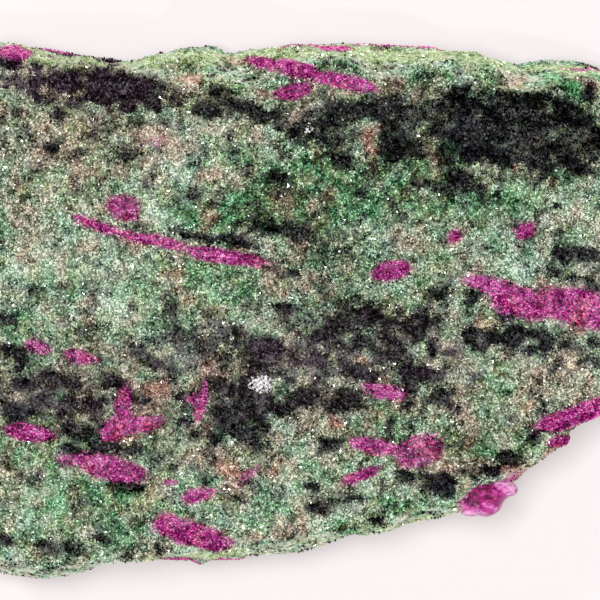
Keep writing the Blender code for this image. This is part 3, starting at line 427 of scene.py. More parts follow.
# %% Every mineral's share at a point
RAGGED = ((1.9, 0.32, 0), (0.8, 0.26, 40))      # wavelength and strength, mm, and shift
AXIS_SHIFT = 3.1            # how far apart that noise is read for x, y and z
RUBY_RAGGED = 0.4           # ruby outlines are pushed about by this share of it
RUBY_EDGE = 0.22            # width of a ruby's edge, as a share of its size
RUBY_REACH = 5.0            # the rubies of the upper face end about this far below the rim, mm
RUBY_HALO = 0.45            # strength of the feldspar ring, and the width of its edge
HALO_EDGE = 0.55
SIDE_START = 15.0           # the sides are further from the middle than this, mm
SIDE_RISE = (-0.8, 0.3)     # and their normals rise by something between these
SKIN_DEEP = 1.2             # the rubies of the underside show below this height, mm
BLACK_STRENGTH = 1.35
BLACK_EDGE = 0.75           # the black patches fade out grain by grain, over this width
VIVID_EVERYWHERE = 0.19     # a little of these shades shows outside their patches too
PALE_EVERYWHERE = 0.26
WARM_EVERYWHERE = 0.13
HUE_SPECKS = 0.15           # how much of the rock leans to blue-green, and to yellow
PLUM_IN_GREEN = 0.25        # in a plum area the green grains take this much of the hue
VIVID_OVER_WARM = 0.7       # vivid green drives out the warm tan by this much


def side_ruby_share(points, outward):
    """The rubies on the sides, each read in its own upright frame."""
    share = np.zeros(len(points))
    steep = (outward > SIDE_RISE[0]) & (outward < SIDE_RISE[1])
    for azimuth, height, *shape in SIDE_RUBIES:
        turn = math.radians(azimuth)
        away = points[:, 0] * math.cos(turn) + points[:, 1] * math.sin(turn)
        along = points[:, 1] * math.cos(turn) - points[:, 0] * math.sin(turn)
        found = patch_share(along, points[:, 2] - height, [(0, 0, *shape)], RUBY_EDGE)
        share = np.maximum(share, found * (away > SIDE_START) * steep)
    return share


def minerals_at(points, outward):
    """Shares of each mineral at points in millimetres, whose normals rise by `outward`."""
    ragged = np.column_stack([layered(points, RAGGED, AXIS_SHIFT * axis) for axis in range(3)])
    depth = np.clip(WIDEST_LEVEL - points[:, 2], 0, None) / math.tan(math.radians(90 - FOLIATION_DIP))
    turn = math.radians(FOLIATION_TURN)
    x = points[:, 0] + ragged[:, 0] + depth * math.sin(turn)
    y = points[:, 1] + ragged[:, 1] - depth * math.cos(turn)
    calm = points + RUBY_RAGGED * ragged
    below = np.clip(RIM_LEVEL - points[:, 2] + 2 * ragged[:, 2], 0, None) / RUBY_REACH
    top = patch_share(calm[:, 0], calm[:, 1], TOP_RUBIES, RUBY_EDGE, below)
    under = patch_share(calm[:, 0], calm[:, 1], UNDER_RUBIES, RUBY_EDGE) * (points[:, 2] < SKIN_DEEP)
    halo = RUBY_HALO * patch_share(calm[:, 0], calm[:, 1], TOP_RUBIES, HALO_EDGE, below)
    rind = clumped(patch_share(x, y, RIND, SOFT_EDGE), points, 55.0) * (points[:, 2] > UPPER_LEVEL)
    black = clumped(BLACK_STRENGTH * patch_share(x, y, HORNBLENDE, BLACK_EDGE), points, 5.0) * (1 - rind)
    plum = patch_share(x, y, PLUM, SOFT_EDGE)
    vivid = tinted(patch_share(x, y, VIVID, SOFT_EDGE) + VIVID_EVERYWHERE, points, 15.0)
    warm = tinted(patch_share(x, y, WARM, SOFT_EDGE) + WARM_EVERYWHERE, points, 35.0)
    feldspar = tinted(patch_share(x, y, FELDSPAR, SOFT_EDGE), points, 45.0)
    return {
        "ruby": np.maximum(np.maximum(top, side_ruby_share(calm, outward)), under),
        "hornblende": black,
        "plum": plum * (PLUM_IN_GREEN + (1 - PLUM_IN_GREEN) * black),
        "vivid": vivid,
        "pale": tinted(patch_share(x, y, PALE, SOFT_EDGE) + PALE_EVERYWHERE, points, 25.0),
        "teal": tinted(np.full(len(x), HUE_SPECKS), points, 65.0),
        "ochre": tinted(np.full(len(x), HUE_SPECKS), points, 75.0),
        "warm": warm * (1 - VIVID_OVER_WARM * vivid),
        "feldspar": np.maximum(feldspar, halo),
        "rind": rind,
    }


print("width of a ruby's edge:", RUBY_EDGE, "and of a black patch's:", BLACK_EDGE)

# %% [markdown]
# ## The skin of the rock
#
# The solid's faces are a millimetre or two wide. The skin starts as a copy of it, remeshed on a
# fine grid, which gives small even faces everywhere. Subdividing would be the other way, but it
# keeps the solid's long thin triangles. These are the tools for that, and for numbers that are
# stored on a mesh's points.

# %% Copying, remeshing and reading a mesh
def merged_copy(name):
    """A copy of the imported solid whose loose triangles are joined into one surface."""
    mesh = frame["nodes"][NODE].data.copy()
    mesh.name = name
    mesh.materials.clear()
    shape = bmesh.new()
    shape.from_mesh(mesh)
    bmesh.ops.remove_doubles(shape, verts=shape.verts[:], dist=1e-6)
    shape.to_mesh(mesh)
    shape.free()
    copy = bpy.data.objects.new(name, mesh)
    bpy.context.scene.collection.objects.link(copy)
    return copy


def apply_modifiers(piece):
    """Replaces a piece's mesh with what its modifiers make of it."""
    evaluated = piece.evaluated_get(bpy.context.evaluated_depsgraph_get())
    finished = bpy.data.meshes.new_from_object(evaluated)
    piece.modifiers.clear()
    piece.data = finished


def remesh(piece, voxel):
    """Adds a remesh to one even surface, on a grid of `voxel` millimetres."""
    modifier = piece.modifiers.new("even_faces", "REMESH")
    modifier.mode = "VOXEL"
    modifier.voxel_size = voxel * MM


def read_points(mesh):
    """Places and normals of a mesh's points; places in millimetres."""
    places = np.empty(3 * len(mesh.vertices), np.float32)
    mesh.vertices.foreach_get("co", places)
    normals = np.empty(3 * len(mesh.vertices), np.float32)
    mesh.vertex_normals.foreach_get("vector", normals)
    return places.reshape(-1, 3).astype(float) / MM, normals.reshape(-1, 3).astype(float)


def store(mesh, name, values):
    """Stores one number for each point under a name, for materials and node trees to read."""
    attribute = mesh.attributes.new(name, "FLOAT", "POINT")
    attribute.data.foreach_set("value", np.ascontiguousarray(values, np.float32))


rock = merged_copy("zoisite_rock")
print("faces of the solid:", len(rock.data.polygons))

# %% [markdown]
# Each kind of crystal grows where its mineral is, and this step stores where. The broken upper
# face gets the most crystals. The sides are worn, so the skin shows bare on them between a few
# crystals. The green crystals are in three pieces and the black ones in two, so that each
# piece stays under 200,000 triangles.

# %% Where each kind of crystal may grow
ZONES = (("zoisite_west", -99, -16), ("zoisite_middle", -16, 8), ("zoisite_east", 8, 99))   # x, mm
HORNBLENDE_SPLIT = 4.0      # x, mm, between the two pieces of black crystals
LEVEL_RISE = 0.5            # a face whose normal rises by more than this counts as level
UNDERSIDE_LEVEL = 1.0       # the underside's crystals are below this height, mm
BARE_RISE = 0.66            # where normals rise by less than this the skin begins to be bare
BARE_RANGE = 0.22           # and it is wholly bare this much further on
BARE_THINNING = 0.65        # so much of the upper face's green is missing where it is bare
MIXED_THINNING = 2.2        # green crystals are rare where another mineral is mixed in
SIDE_BLACK = 0.5            # the sides and the underside get these shares of what the top gets
SIDE_RUBY = 0.6
UNDER_SHARE = 0.4


def bare_share(outward):
    """1 on the steep, worn sides, where the skin shows bare, and 0 on the level faces."""
    return np.clip((BARE_RISE - np.abs(outward)) / BARE_RANGE, 0, 1)


def store_zones(mesh, places, outward, minerals, near_tongue):
    """Stores the share of each kind of crystal under the name of the piece it makes."""
    x = places[:, 0]
    upper = (outward > LEVEL_RISE) & (places[:, 2] > UPPER_LEVEL)
    under = (places[:, 2] < UNDERSIDE_LEVEL) & (outward < -LEVEL_RISE)
    side = ~upper & ~under
    white = patch_share(x, places[:, 1], CALCITE, RUBY_EDGE) * upper
    green = np.clip(1 - minerals["ruby"] - minerals["hornblende"] - white, 0, 1) ** MIXED_THINNING
    fewer = upper * (1 - BARE_THINNING * bare_share(outward))
    for name, low, high in ZONES:
        store(mesh, name, green * fewer * (x >= low) * (x < high))
    store(mesh, "zoisite_side", green * side)
    store(mesh, "zoisite_under", green * under)
    black = minerals["hornblende"] * (1 - minerals["ruby"]) * (1 - white)
    black = black * (upper + SIDE_BLACK * side + UNDER_SHARE * under)
    store(mesh, "hornblende_west", black * (x < HORNBLENDE_SPLIT))
    store(mesh, "hornblende_east", black * (x >= HORNBLENDE_SPLIT))
    pink = minerals["ruby"] * ~near_tongue
    store(mesh, "ruby_crystals", pink * (upper + SIDE_RUBY * side + UNDER_SHARE * under))
    store(mesh, "calcite_crystals", white)


print("zones of green crystals:", [name for name, low, high in ZONES])

# %% [markdown]
# The skin can now be made. Every point moves along its normal: in and out by noise of three
# sizes, inwards in the black patches, where the soft hornblende has broken out, and hardly at
# all on the rubies, which break flat. The minerals are stored on the points as attributes, so
# the materials and the crystals on top read one map. `light` is stored with them: it makes
# whole clusters of grains paler or darker, and it paints the steep worn sides paler as painted
# light.

# %% The fine skin
SKIN_VOXEL = 0.38           # grid of the skin, mm; a smaller one would pass 200,000 triangles
SKIN_LUMPS = ((4.2, 0.20), (1.8, 0.24), (0.95, 0.20))         # wavelength and height, mm
LUMP_SHIFT = 5.7            # how far apart the lumps of different sizes read the noise
SKIN_SETBACK = 0.16         # room for the crystals that stand on the skin, mm
HORNBLENDE_DEPTH = 0.30     # how deep the black patches have broken out, mm
RUBY_FLATNESS = 0.6         # a ruby lacks this much of the roughness
STEEP_ROUGHNESS = 0.30      # the worn sides have this much of the upper face's
STEEP_RISE = 0.45           # where normals rise by less than this a face counts as steep
LEVEL_RANGE = 0.3           # and it is as rough as a level one this much further on
GLASSY_RUBY = (18.9, -19.1, 14.6)             # middle of the smooth ruby at the edge, mm
GLASSY_REACH = 3.4          # no crystals grow on the rubies this near to it, mm
GLASSY_BULGE = 0.3          # and the skin there is moved by this share only
CLUSTERS = ((0.75, 0.9, 83.0), (1.8, 0.5, 93.0))              # wavelength, strength and shift
BARE_CALM = 0.5             # clusters differ less by this much where the skin is bare
RIM_PAINTED_LIGHT = 0.28            # painted light: the steep worn sides are made paler than the broken face
OVERALL_LIGHT = 0.12
BLUSH_WAVES = ((1.6, 1.5, 63.0),)             # where ruby leans from magenta to red
BLUSH = 0.10                # and how much of it does so everywhere


def light_at(places, bare):
    """How much paler or darker than usual the grains are at each point, with painted light on the steep
    sides.
    """
    x, y, z = places.T
    areas = [patch_share(x, y, patches, SOFT_EDGE) * (z > UPPER_LEVEL) for patches in (BRIGHT, DULL)]
    clusters = layered(places, CLUSTERS) * (1 - BARE_CALM * bare)
    return clusters + RIM_PAINTED_LIGHT * bare + areas[0] - areas[1] + OVERALL_LIGHT


def roughen(mesh):
    """Moves the skin's points and stores the minerals on them."""
    places, normals = read_points(mesh)
    outward = normals[:, 2]
    minerals = minerals_at(places, outward)
    near_tongue = np.linalg.norm(places - np.array(GLASSY_RUBY), axis=1) < GLASSY_REACH
    level = np.clip((outward - STEEP_RISE) / LEVEL_RANGE, 0, 1)
    rough = (1 - RUBY_FLATNESS * minerals["ruby"]) * (STEEP_ROUGHNESS + (1 - STEEP_ROUGHNESS) * level)
    move = -SKIN_SETBACK - HORNBLENDE_DEPTH * minerals["hornblende"] * rough
    for order, (wavelength, height) in enumerate(SKIN_LUMPS):
        move = move + height * rough * noise_at(places, wavelength, LUMP_SHIFT * (order + 1))
    move[near_tongue & (minerals["ruby"] > 0.5)] *= GLASSY_BULGE
    places += normals * move[:, None]
    places[:, 2] = np.maximum(places[:, 2], SKIN_SETBACK)
    mesh.vertices.foreach_set("co", (places * MM).astype(np.float32).ravel())
    for name, share in minerals.items():
        store(mesh, name, share)
    bare = bare_share(outward)
    store(mesh, "bare", bare)
    store(mesh, "light", light_at(places, bare))
    store(mesh, "blush", np.clip(BLUSH + layered(places, BLUSH_WAVES), 0, 1))
    store_zones(mesh, places, outward, minerals, near_tongue)
    mesh.update()


remesh(rock, SKIN_VOXEL)
apply_modifiers(rock)
roughen(rock.data)
rock.data.polygons.foreach_set("use_smooth", np.ones(len(rock.data.polygons), bool))
print("skin faces:", len(rock.data.polygons))

# %% [markdown]
# ## Colours
#
# Every mineral has a ramp of six colours, from its darkest grains to its palest. For the green,
# black and pink minerals the palest stops are partly painted glints: grains as bright as a sparkle,
# besides the real reflections. Where a grain sits on its ramp is the sum of three things: its own
# chance, which is stored on the crystal as `tint`; the flake it is part of, because neighbours
# that broke along one plane are alike; and the `light` of its cluster, which also holds the
# painted light of the steep sides. A single random number per grain would be simpler, but it
# gives an even sparkle with no larger forms in it.

# %% Colour ramps, and the nodes that read them
RAMPS = {
    "zoisite": ("#021605", "#2a5c34", "#90c09a", "#c0e8c4", "#ceecce", "#e6f5e2"),
    "teal": ("#001412", "#0c3a36", "#509490", "#8ec8b6", "#c0eada", "#dcf4ec"),
    "ochre": ("#141205", "#4a4624", "#a89c64", "#d8ce98", "#ece4ba", "#f2ecca"),
    "pale": ("#162e1a", "#628a72", "#b6d4b8", "#def2e0", "#edfcec", "#f0faee"),
    "vivid": ("#001206", "#043618", "#186c36", "#50aa62", "#8ed29a", "#caf6d0"),
    "warm": ("#1a1713", "#564a42", "#ac9680", "#dac4ac", "#f0dec8", "#f2e6d2"),
    "feldspar": ("#442c26", "#8c6050", "#c8907a", "#e0b09a", "#f2ccba", "#f8dccf"),
    "rind": ("#36441f", "#769050", "#a8c082", "#c2d69e", "#d4e6b6", "#effbda"),
    "hornblende": ("#000000", "#000000", "#000001", "#020203", "#060608", "#4c4a55"),
    "plum": ("#010001", "#080408", "#180c16", "#2a1a28", "#443040", "#867682"),
    "ruby": ("#480432", "#820a5c", "#b41c88", "#d846ac", "#f272c8", "#ffa6e0"),
    "blush": ("#480618", "#820c3a", "#b8205c", "#d84a80", "#f47a9c", "#ffb0ca"),
    "glassy": ("#560632", "#940c60", "#ba268c", "#cc56ac", "#de84c6", "#f4b8e0"),
    "calcite": ("#b4aab6", "#dcd4de", "#f4f0f2", "#faf8f8", "#fdfcfc", "#ffffff"),
}
RAMP_STOPS = (0.0, 0.21, 0.42, 0.62, 0.82, 1.0)
GREEN_ROCK = ("zoisite", "teal", "ochre", "pale", "vivid", "warm", "feldspar", "rind", "hornblende",
              "plum", "ruby")
OWN_LIGHT = 0.80            # how much a single crystal differs from its flake
FLAKE = 0.75                # width of the flakes, mm
FLAKE_LIGHT = 3.0           # how much lighter or darker a flake is
CLUSTER_LIGHT = 0.40        # and the same for a whole cluster


def mineral_colour(tree, mineral, tint):
    """The ramp of one mineral, read at `tint`."""
    ramp = add_node(tree, "ShaderNodeValToRGB", {"Fac": tint})
    stops = ramp.color_ramp.elements
    while len(stops) < len(RAMP_STOPS):
        stops.new(0.5)
    for stop, place, colour in zip(stops, RAMP_STOPS, RAMPS[mineral]):
        stop.position = place
        stop.color = linear(colour)
    return ramp.outputs["Color"]


def mixed_colour(tree, minerals, tint):
    """The first mineral's colour, shading into each of the others by its stored share."""
    colour = mineral_colour(tree, minerals[0], tint)
    for mineral in minerals[1:]:
        share = add_node(tree, "ShaderNodeAttribute", attribute_name=mineral).outputs["Fac"]
        mix = add_node(tree, "ShaderNodeMix", {
            "Factor": share, 6: colour, 7: mineral_colour(tree, mineral, tint)}, data_type="RGBA")
        colour = mix.outputs[2]
    return colour


def flake_tint(tree, chance):
    """A grain's place on its ramp: its own chance, its flake and its cluster, added up; the cluster's light
    also holds painted light on the steep sides.
    """
    where = add_node(tree, "ShaderNodeTexCoord").outputs["Object"]
    flakes = add_node(tree, "ShaderNodeTexNoise", {
        "Vector": where, "Scale": 1 / (FLAKE * MM), "Detail": 4.0, "Roughness": 0.9, "Distortion": 1.0})
    light = add_node(tree, "ShaderNodeAttribute", attribute_name="light").outputs["Fac"]
    tint = 0.5 - 0.5 * FLAKE_LIGHT - 0.5 * OWN_LIGHT
    for part, strength in ((chance, OWN_LIGHT), (flakes, FLAKE_LIGHT), (light, CLUSTER_LIGHT)):
        tint = add_node(tree, "ShaderNodeMath", {0: part, 1: strength, 2: tint}, operation="MULTIPLY_ADD")
    return add_node(tree, "ShaderNodeClamp", {"Value": tint})


print("ramps:", list(RAMPS))

# %% [markdown]
# ## Finishes
#
# `IOR` is how strongly a surface reflects, and these are the minerals' own values. A low
# roughness makes each flat face a small mirror, and that is where most of the white glints come
# from; the others are painted glints, the palest stops of the ramps. `mirror` turns this down for
# the minerals that stay dark or strongly coloured among the glints.

# %% The finishes of the loose crystals
def new_material(name, roughness, ior, mirror=0.5):
    """An empty material with one Principled surface; `mirror` weakens reflections below 0.5."""
    material = bpy.data.materials.new(name)
    material.use_nodes = True
    surface = material.node_tree.nodes["Principled BSDF"]
    surface.inputs["Roughness"].default_value = roughness
    surface.inputs["IOR"].default_value = ior
    surface.inputs["Specular IOR Level"].default_value = mirror
    return material, material.node_tree, surface


def crystal_material(name, minerals, roughness, ior, mirror=0.5):
    """The finish of loose crystals, which are the first mineral shading into the others."""
    material, tree, surface = new_material(name, roughness, ior, mirror)
    chance = add_node(tree, "ShaderNodeAttribute", attribute_name="tint").outputs["Fac"]
    tree.links.new(mixed_colour(tree, minerals, flake_tint(tree, chance)), surface.inputs["Base Color"])
    return material


# Zoisite breaks into glassy faces: mint and green grains, with white glints here and there,
# partly reflected and partly painted as the palest grains.
ZOISITE = crystal_material("zoisite_crystals", GREEN_ROCK, 0.12, 1.70, 0.36)
# Hornblende gives deep black gaps between the green grains, without a reflected glint of its
# own; its few grey grains at the top of the ramp are painted glints.
HORNBLENDE_FINISH = crystal_material("hornblende_blades", ("hornblende", "plum"), 0.25, 1.65, 0.0)
# Broken ruby gives bright magenta streaks, whose splinters have only a faint silky shine; its
# palest pink grains are partly painted highlights.
RUBY = crystal_material("ruby_splinters", ("ruby", "blush"), 0.24, 1.76, 0.02)
# Calcite gives two spots of milky white, the palest of the upper face.
CALCITE_FINISH = crystal_material("calcite_grains", ("calcite",), 0.30, 1.60)
print("crystal materials:", ZOISITE.name, HORNBLENDE_FINISH.name, RUBY.name, CALCITE_FINISH.name)

# %% [markdown]
# The skin shows in the gaps between the crystals, and bare on the worn sides. Its cells are as
# wide as the crystals, so a gap looks like one more crystal further down, in shadow. That is
# why its colour is darkened there, and not on the sides.

# %% The finish of the skin
CELL = 0.42                 # width of a cell in the skin, mm
# GAP_SHADE is painted shade: the skin is darkened in the gaps, where the crystals shade it.
GAP_SHADE = 0.25            # in the gaps the skin's colour is multiplied by this
CELL_RELIEF = 0.10          # how far the cells stand out, mm

# Rock between the crystals, darkened in the gaps as painted shade, sets the pale grains apart.
skin_finish, tree, surface = new_material("rock_between_crystals", 0.35, 1.70, 0.1)
where = add_node(tree, "ShaderNodeTexCoord").outputs["Object"]
cells = add_node(tree, "ShaderNodeTexVoronoi", {"Vector": where, "Scale": 1 / (CELL * MM)})
channels = add_node(tree, "ShaderNodeSeparateColor", {"Color": cells.outputs["Color"]})
skin_colour = mixed_colour(tree, GREEN_ROCK, flake_tint(tree, channels.outputs["Green"]))
bare = add_node(tree, "ShaderNodeAttribute", attribute_name="bare").outputs["Fac"]
shade = add_node(tree, "ShaderNodeMapRange", {0: bare, 3: GAP_SHADE, 4: 1.0})
shaded = add_node(tree, "ShaderNodeMix", {"Factor": 1.0, 6: skin_colour, 7: shade},
                  data_type="RGBA", blend_type="MULTIPLY")
tree.links.new(shaded.outputs[2], surface.inputs["Base Color"])
bump = add_node(tree, "ShaderNodeBump", {
    "Height": cells.outputs["Distance"], "Distance": CELL_RELIEF * MM, "Strength": 0.8}, invert=True)
tree.links.new(bump.outputs["Normal"], surface.inputs["Normal"])
rock.data.materials.append(skin_finish)
print("skin cells, mm:", CELL)

# %% [markdown]
# ## The crystals
#
# Three small shapes are enough: turned and stretched, they never look alike. Each is the hull
# of four or five points, which keeps it at four to six flat triangles. A Geometry Nodes tree
# then scatters them. It could be done with a loop in Python, but the tree is faster and its
# inputs can be changed by hand in Blender. It ends by making the copies real, because an export
# drops instances.

# %% Three crystal shapes
SHAPES = {
    "splinter": [(-.6, -.2, -.3), (.6, -.25, -.2), (.1, .5, -.2), (-.1, 0, .5)],
    "chip": [(-.5, -.35, -.35), (.5, -.1, -.3), (-.1, .5, -.1), (.15, -.1, .5)],
    "wedge": [(-.5, -.3, -.2), (-.4, .4, -.2), (.5, .1, -.3), (-.3, 0, .4), (.4, -.3, .2)],
}
crystal_shapes = bpy.data.collections.new("crystal_shapes")
for name, corners in SHAPES.items():
    hull = bmesh.new()
    for corner in corners:
        hull.verts.new(corner)
    bmesh.ops.convex_hull(hull, input=hull.verts[:])
    mesh = bpy.data.meshes.new(name)
    hull.to_mesh(mesh)
    hull.free()
    crystal_shapes.objects.link(bpy.data.objects.new(name, mesh))
    print(name, "has", len(mesh.polygons), "triangles")

# %% [markdown]
# The tree reads a place's share of the mineral from an attribute of the skin and scatters that
# many crystals there. `Wander` is how far a crystal may turn away from the direction of the
# streaks: the zoisite of the broken face turns every way, and the splinters of ruby stay nearer
# to it. Each random number has a seed of its own, so the crystals come out the same every time.

# %% The tree that grows crystals on the skin
TREE_INPUTS = (
    ("Geometry", "NodeSocketGeometry", None), ("Grows", "NodeSocketString", "zoisite_side"),
    ("Crystals per square mm", "NodeSocketFloat", 10.0), ("Size", "NodeSocketFloat", 0.35),
    ("Spread", "NodeSocketFloat", 0.35), ("Slimness", "NodeSocketFloat", 0.8),
    ("Rise", "NodeSocketFloat", 0.1), ("Wander", "NodeSocketFloat", 3.14),
    ("Lie", "NodeSocketVector", (1.0, 0.0, 0.0)), ("Shapes", "NodeSocketCollection", None),
    ("Material", "NodeSocketMaterial", None), ("Seed", "NodeSocketInt", 1),
)
SUNK = -0.4                 # some crystals sit this much of the rise too low
FLATTEST = 0.6              # least and greatest thickness, as shares of the width
THICKEST = 1.1


def crystal_tree():
    """Scatters crystals by a stored share; lifts, turns and stretches them; makes them real."""
    tree = bpy.data.node_groups.new("grow_crystals", "GeometryNodeTree")
    for name, kind, value in TREE_INPUTS:
        socket = tree.interface.new_socket(name, in_out="INPUT", socket_type=kind)
        if value is not None:
            socket.default_value = value
    tree.interface.new_socket("Geometry", in_out="OUTPUT", socket_type="NodeSocketGeometry")
    given = add_node(tree, "NodeGroupInput").outputs

    share = add_node(tree, "GeometryNodeInputNamedAttribute", {"Name": given["Grows"]}, data_type="FLOAT")
    most = add_node(tree, "ShaderNodeMath", {0: given["Crystals per square mm"], 1: 1 / MM ** 2},
                    operation="MULTIPLY")
    density = add_node(tree, "ShaderNodeMath", {0: share.outputs["Attribute"], 1: most},
                       operation="MULTIPLY")
    places = add_node(tree, "GeometryNodeDistributePointsOnFaces", {
        "Mesh": given["Geometry"], "Seed": given["Seed"], "Density": density})

    smallest = add_node(tree, "ShaderNodeMath", {0: 1.0, 1: given["Spread"]}, operation="SUBTRACT")
    largest = add_node(tree, "ShaderNodeMath", {0: 1.0, 1: given["Spread"]}, operation="ADD")
    chance = {}
    for name, low, high, seed in (("rise", SUNK, 1.0, 11), ("size", smallest, largest, 13),
                                  ("thickness", FLATTEST, THICKEST, 14), ("tint", 0.0, 1.0, 21)):
        node = add_node(tree, "FunctionNodeRandomValue", {2: low, 3: high, "Seed": seed}, data_type="FLOAT")
        chance[name] = node.outputs[1]

    rise = add_node(tree, "ShaderNodeMath", {0: chance["rise"], 1: given["Rise"]}, operation="MULTIPLY")
    lift = add_node(tree, "ShaderNodeMath", {0: rise, 1: MM}, operation="MULTIPLY")
    offset = add_node(tree, "ShaderNodeVectorMath", {0: places.outputs["Normal"], "Scale": lift},
                      operation="SCALE")
    lifted = add_node(tree, "GeometryNodeSetPosition", {"Geometry": places, "Offset": offset})

    lying = add_node(tree, "FunctionNodeAlignRotationToVector", {
        "Rotation": places.outputs["Rotation"], "Vector": given["Lie"]}, axis="X", pivot_axis="Z")
    wander = given["Wander"]
    against = add_node(tree, "ShaderNodeMath", {0: wander, 1: -1.0}, operation="MULTIPLY")
    low = add_node(tree, "ShaderNodeCombineXYZ", {0: against, 1: against, 2: against})
    high = add_node(tree, "ShaderNodeCombineXYZ", {0: wander, 1: wander, 2: wander})
    turn = add_node(tree, "FunctionNodeRandomValue", {0: low, 1: high, "Seed": 12},
                    data_type="FLOAT_VECTOR")
    rotation = add_node(tree, "FunctionNodeEulerToRotation", {0: turn})
    turned = add_node(tree, "FunctionNodeRotateRotation", {"Rotation": lying, "Rotate By": rotation},
                      rotation_space="LOCAL")

    own_size = add_node(tree, "ShaderNodeMath", {0: chance["size"], 1: given["Size"]}, operation="MULTIPLY")
    length = add_node(tree, "ShaderNodeMath", {0: own_size, 1: MM}, operation="MULTIPLY")
    width = add_node(tree, "ShaderNodeMath", {0: length, 1: given["Slimness"]}, operation="MULTIPLY")
    thickness = add_node(tree, "ShaderNodeMath", {0: width, 1: chance["thickness"]}, operation="MULTIPLY")
    scale = add_node(tree, "ShaderNodeCombineXYZ", {0: length, 1: width, 2: thickness})

    shapes = add_node(tree, "GeometryNodeCollectionInfo", {
        "Collection": given["Shapes"], "Separate Children": True, "Reset Children": True})
    grown = add_node(tree, "GeometryNodeInstanceOnPoints", {
        "Points": lifted, "Instance": shapes, "Pick Instance": True, "Rotation": turned, "Scale": scale})
    tinted_ones = add_node(tree, "GeometryNodeStoreNamedAttribute", {
        "Geometry": grown, "Name": "tint", "Value": chance["tint"]}, data_type="FLOAT", domain="INSTANCE")
    real = add_node(tree, "GeometryNodeRealizeInstances", {"Geometry": tinted_ones})
    flat = add_node(tree, "GeometryNodeSetShadeSmooth", {0: real, "Shade Smooth": False})
    finished = add_node(tree, "GeometryNodeSetMaterial", {"Geometry": flat, "Material": given["Material"]})
    add_node(tree, "NodeGroupOutput", {0: finished})
    return tree


GROW = crystal_tree()
print("inputs of the tree:", [item.name for item in GROW.interface.items_tree if item.in_out == "INPUT"])

# %% [markdown]
# Each row of the next list is one piece, which grows where the share stored under its own name
# says. The upper face gets the most crystals, and the sides and the underside fewer and larger
# ones, because the rock may have only so many triangles. Real grains go down to 0.1 mm. These
# are the coarser ones, of about 0.3 mm, for the same reason.

# %% Growing the crystals
STREAK = Matrix.Rotation(math.radians(FOLIATION_TURN), 3, "Z") @ Vector((1, 0, 0))
CROP_INPUTS = ("Crystals per square mm", "Size", "Spread", "Slimness", "Rise", "Wander", "Material")
CROPS = (
    ("zoisite_west", 46.0, 0.27, 0.5, 0.80, 0.13, 3.14, ZOISITE),
    ("zoisite_middle", 46.0, 0.27, 0.5, 0.80, 0.13, 3.14, ZOISITE),
    ("zoisite_east", 46.0, 0.27, 0.5, 0.80, 0.13, 3.14, ZOISITE),
    ("zoisite_side", 5.5, 0.34, 0.40, 0.80, 0.02, 0.6, ZOISITE),
    ("zoisite_under", 4.0, 0.46, 0.30, 0.80, -0.05, 0.6, ZOISITE),
    ("hornblende_west", 34.0, 0.28, 0.45, 0.75, 0.10, 2.0, HORNBLENDE_FINISH),
    ("hornblende_east", 34.0, 0.28, 0.45, 0.75, 0.10, 2.0, HORNBLENDE_FINISH),
    ("ruby_crystals", 42.0, 0.27, 0.45, 0.60, 0.05, 1.0, RUBY),
    ("calcite_crystals", 60.0, 0.30, 0.40, 0.80, 0.22, 3.14, CALCITE_FINISH),
)
FIRST_SEED = 7


def grow(seed, name, *settings):
    """One piece of crystals, grown on a copy of the skin and made an ordinary mesh."""
    piece = bpy.data.objects.new(name, rock.data)
    bpy.context.scene.collection.objects.link(piece)
    modifier = piece.modifiers.new("grow", "NODES")
    modifier.node_group = GROW
    values = dict(zip(CROP_INPUTS, settings))
    values.update({"Grows": name, "Lie": STREAK, "Shapes": crystal_shapes, "Seed": seed})
    for item in GROW.interface.items_tree:
        if item.in_out == "INPUT" and item.name in values:
            modifier[item.identifier] = values[item.name]
    apply_modifiers(piece)
    return piece


crystals = [grow(FIRST_SEED + order, *crop) for order, crop in enumerate(CROPS)]
for piece in crystals:
    print(piece.name, "triangles:", sum(len(face.vertices) - 2 for face in piece.data.polygons))
for shape in list(crystal_shapes.objects):
    bpy.data.objects.remove(shape)
bpy.data.collections.remove(crystal_shapes)

# %% [markdown]
# At the south-east edge one ruby is not broken but rounded, glossy and swirled with paler pink.
# It is a separate smooth piece: five overlapping balls, stretched, then melted into one surface
# by the same remesh as the skin, on a finer grid. Each ball is a lobe with a lightness of its
# own, and the lightness of a point is the mean of the lobes around it.

# %% The shape of the smooth ruby at the edge
LOBES = (  # x, y, z, three half sizes, turn, lightness
    (18.3, -18.8, 16.0, 1.8, 0.95, 1.7, 10, 0.10), (20.5, -18.3, 15.5, 1.5, 0.85, 1.6, -10, 0.90),
    (19.0, -20.0, 15.4, 1.5, 1.10, 1.8, 25, 0.60), (19.6, -19.1, 15.8, 1.1, 1.00, 1.8, 0, 0.30),
    (17.5, -20.7, 14.9, 1.3, 0.45, 1.2, 5, 0.95),
)
LOBE_VOXEL = 0.14           # grid that melts the balls together, mm
LOBE_FADE = 3               # how fast a lobe's lightness fades outside its ball
CLOUDS = ((0.5, 0.35, 17.0),)                 # noise in the lightness, as in CLUSTERS

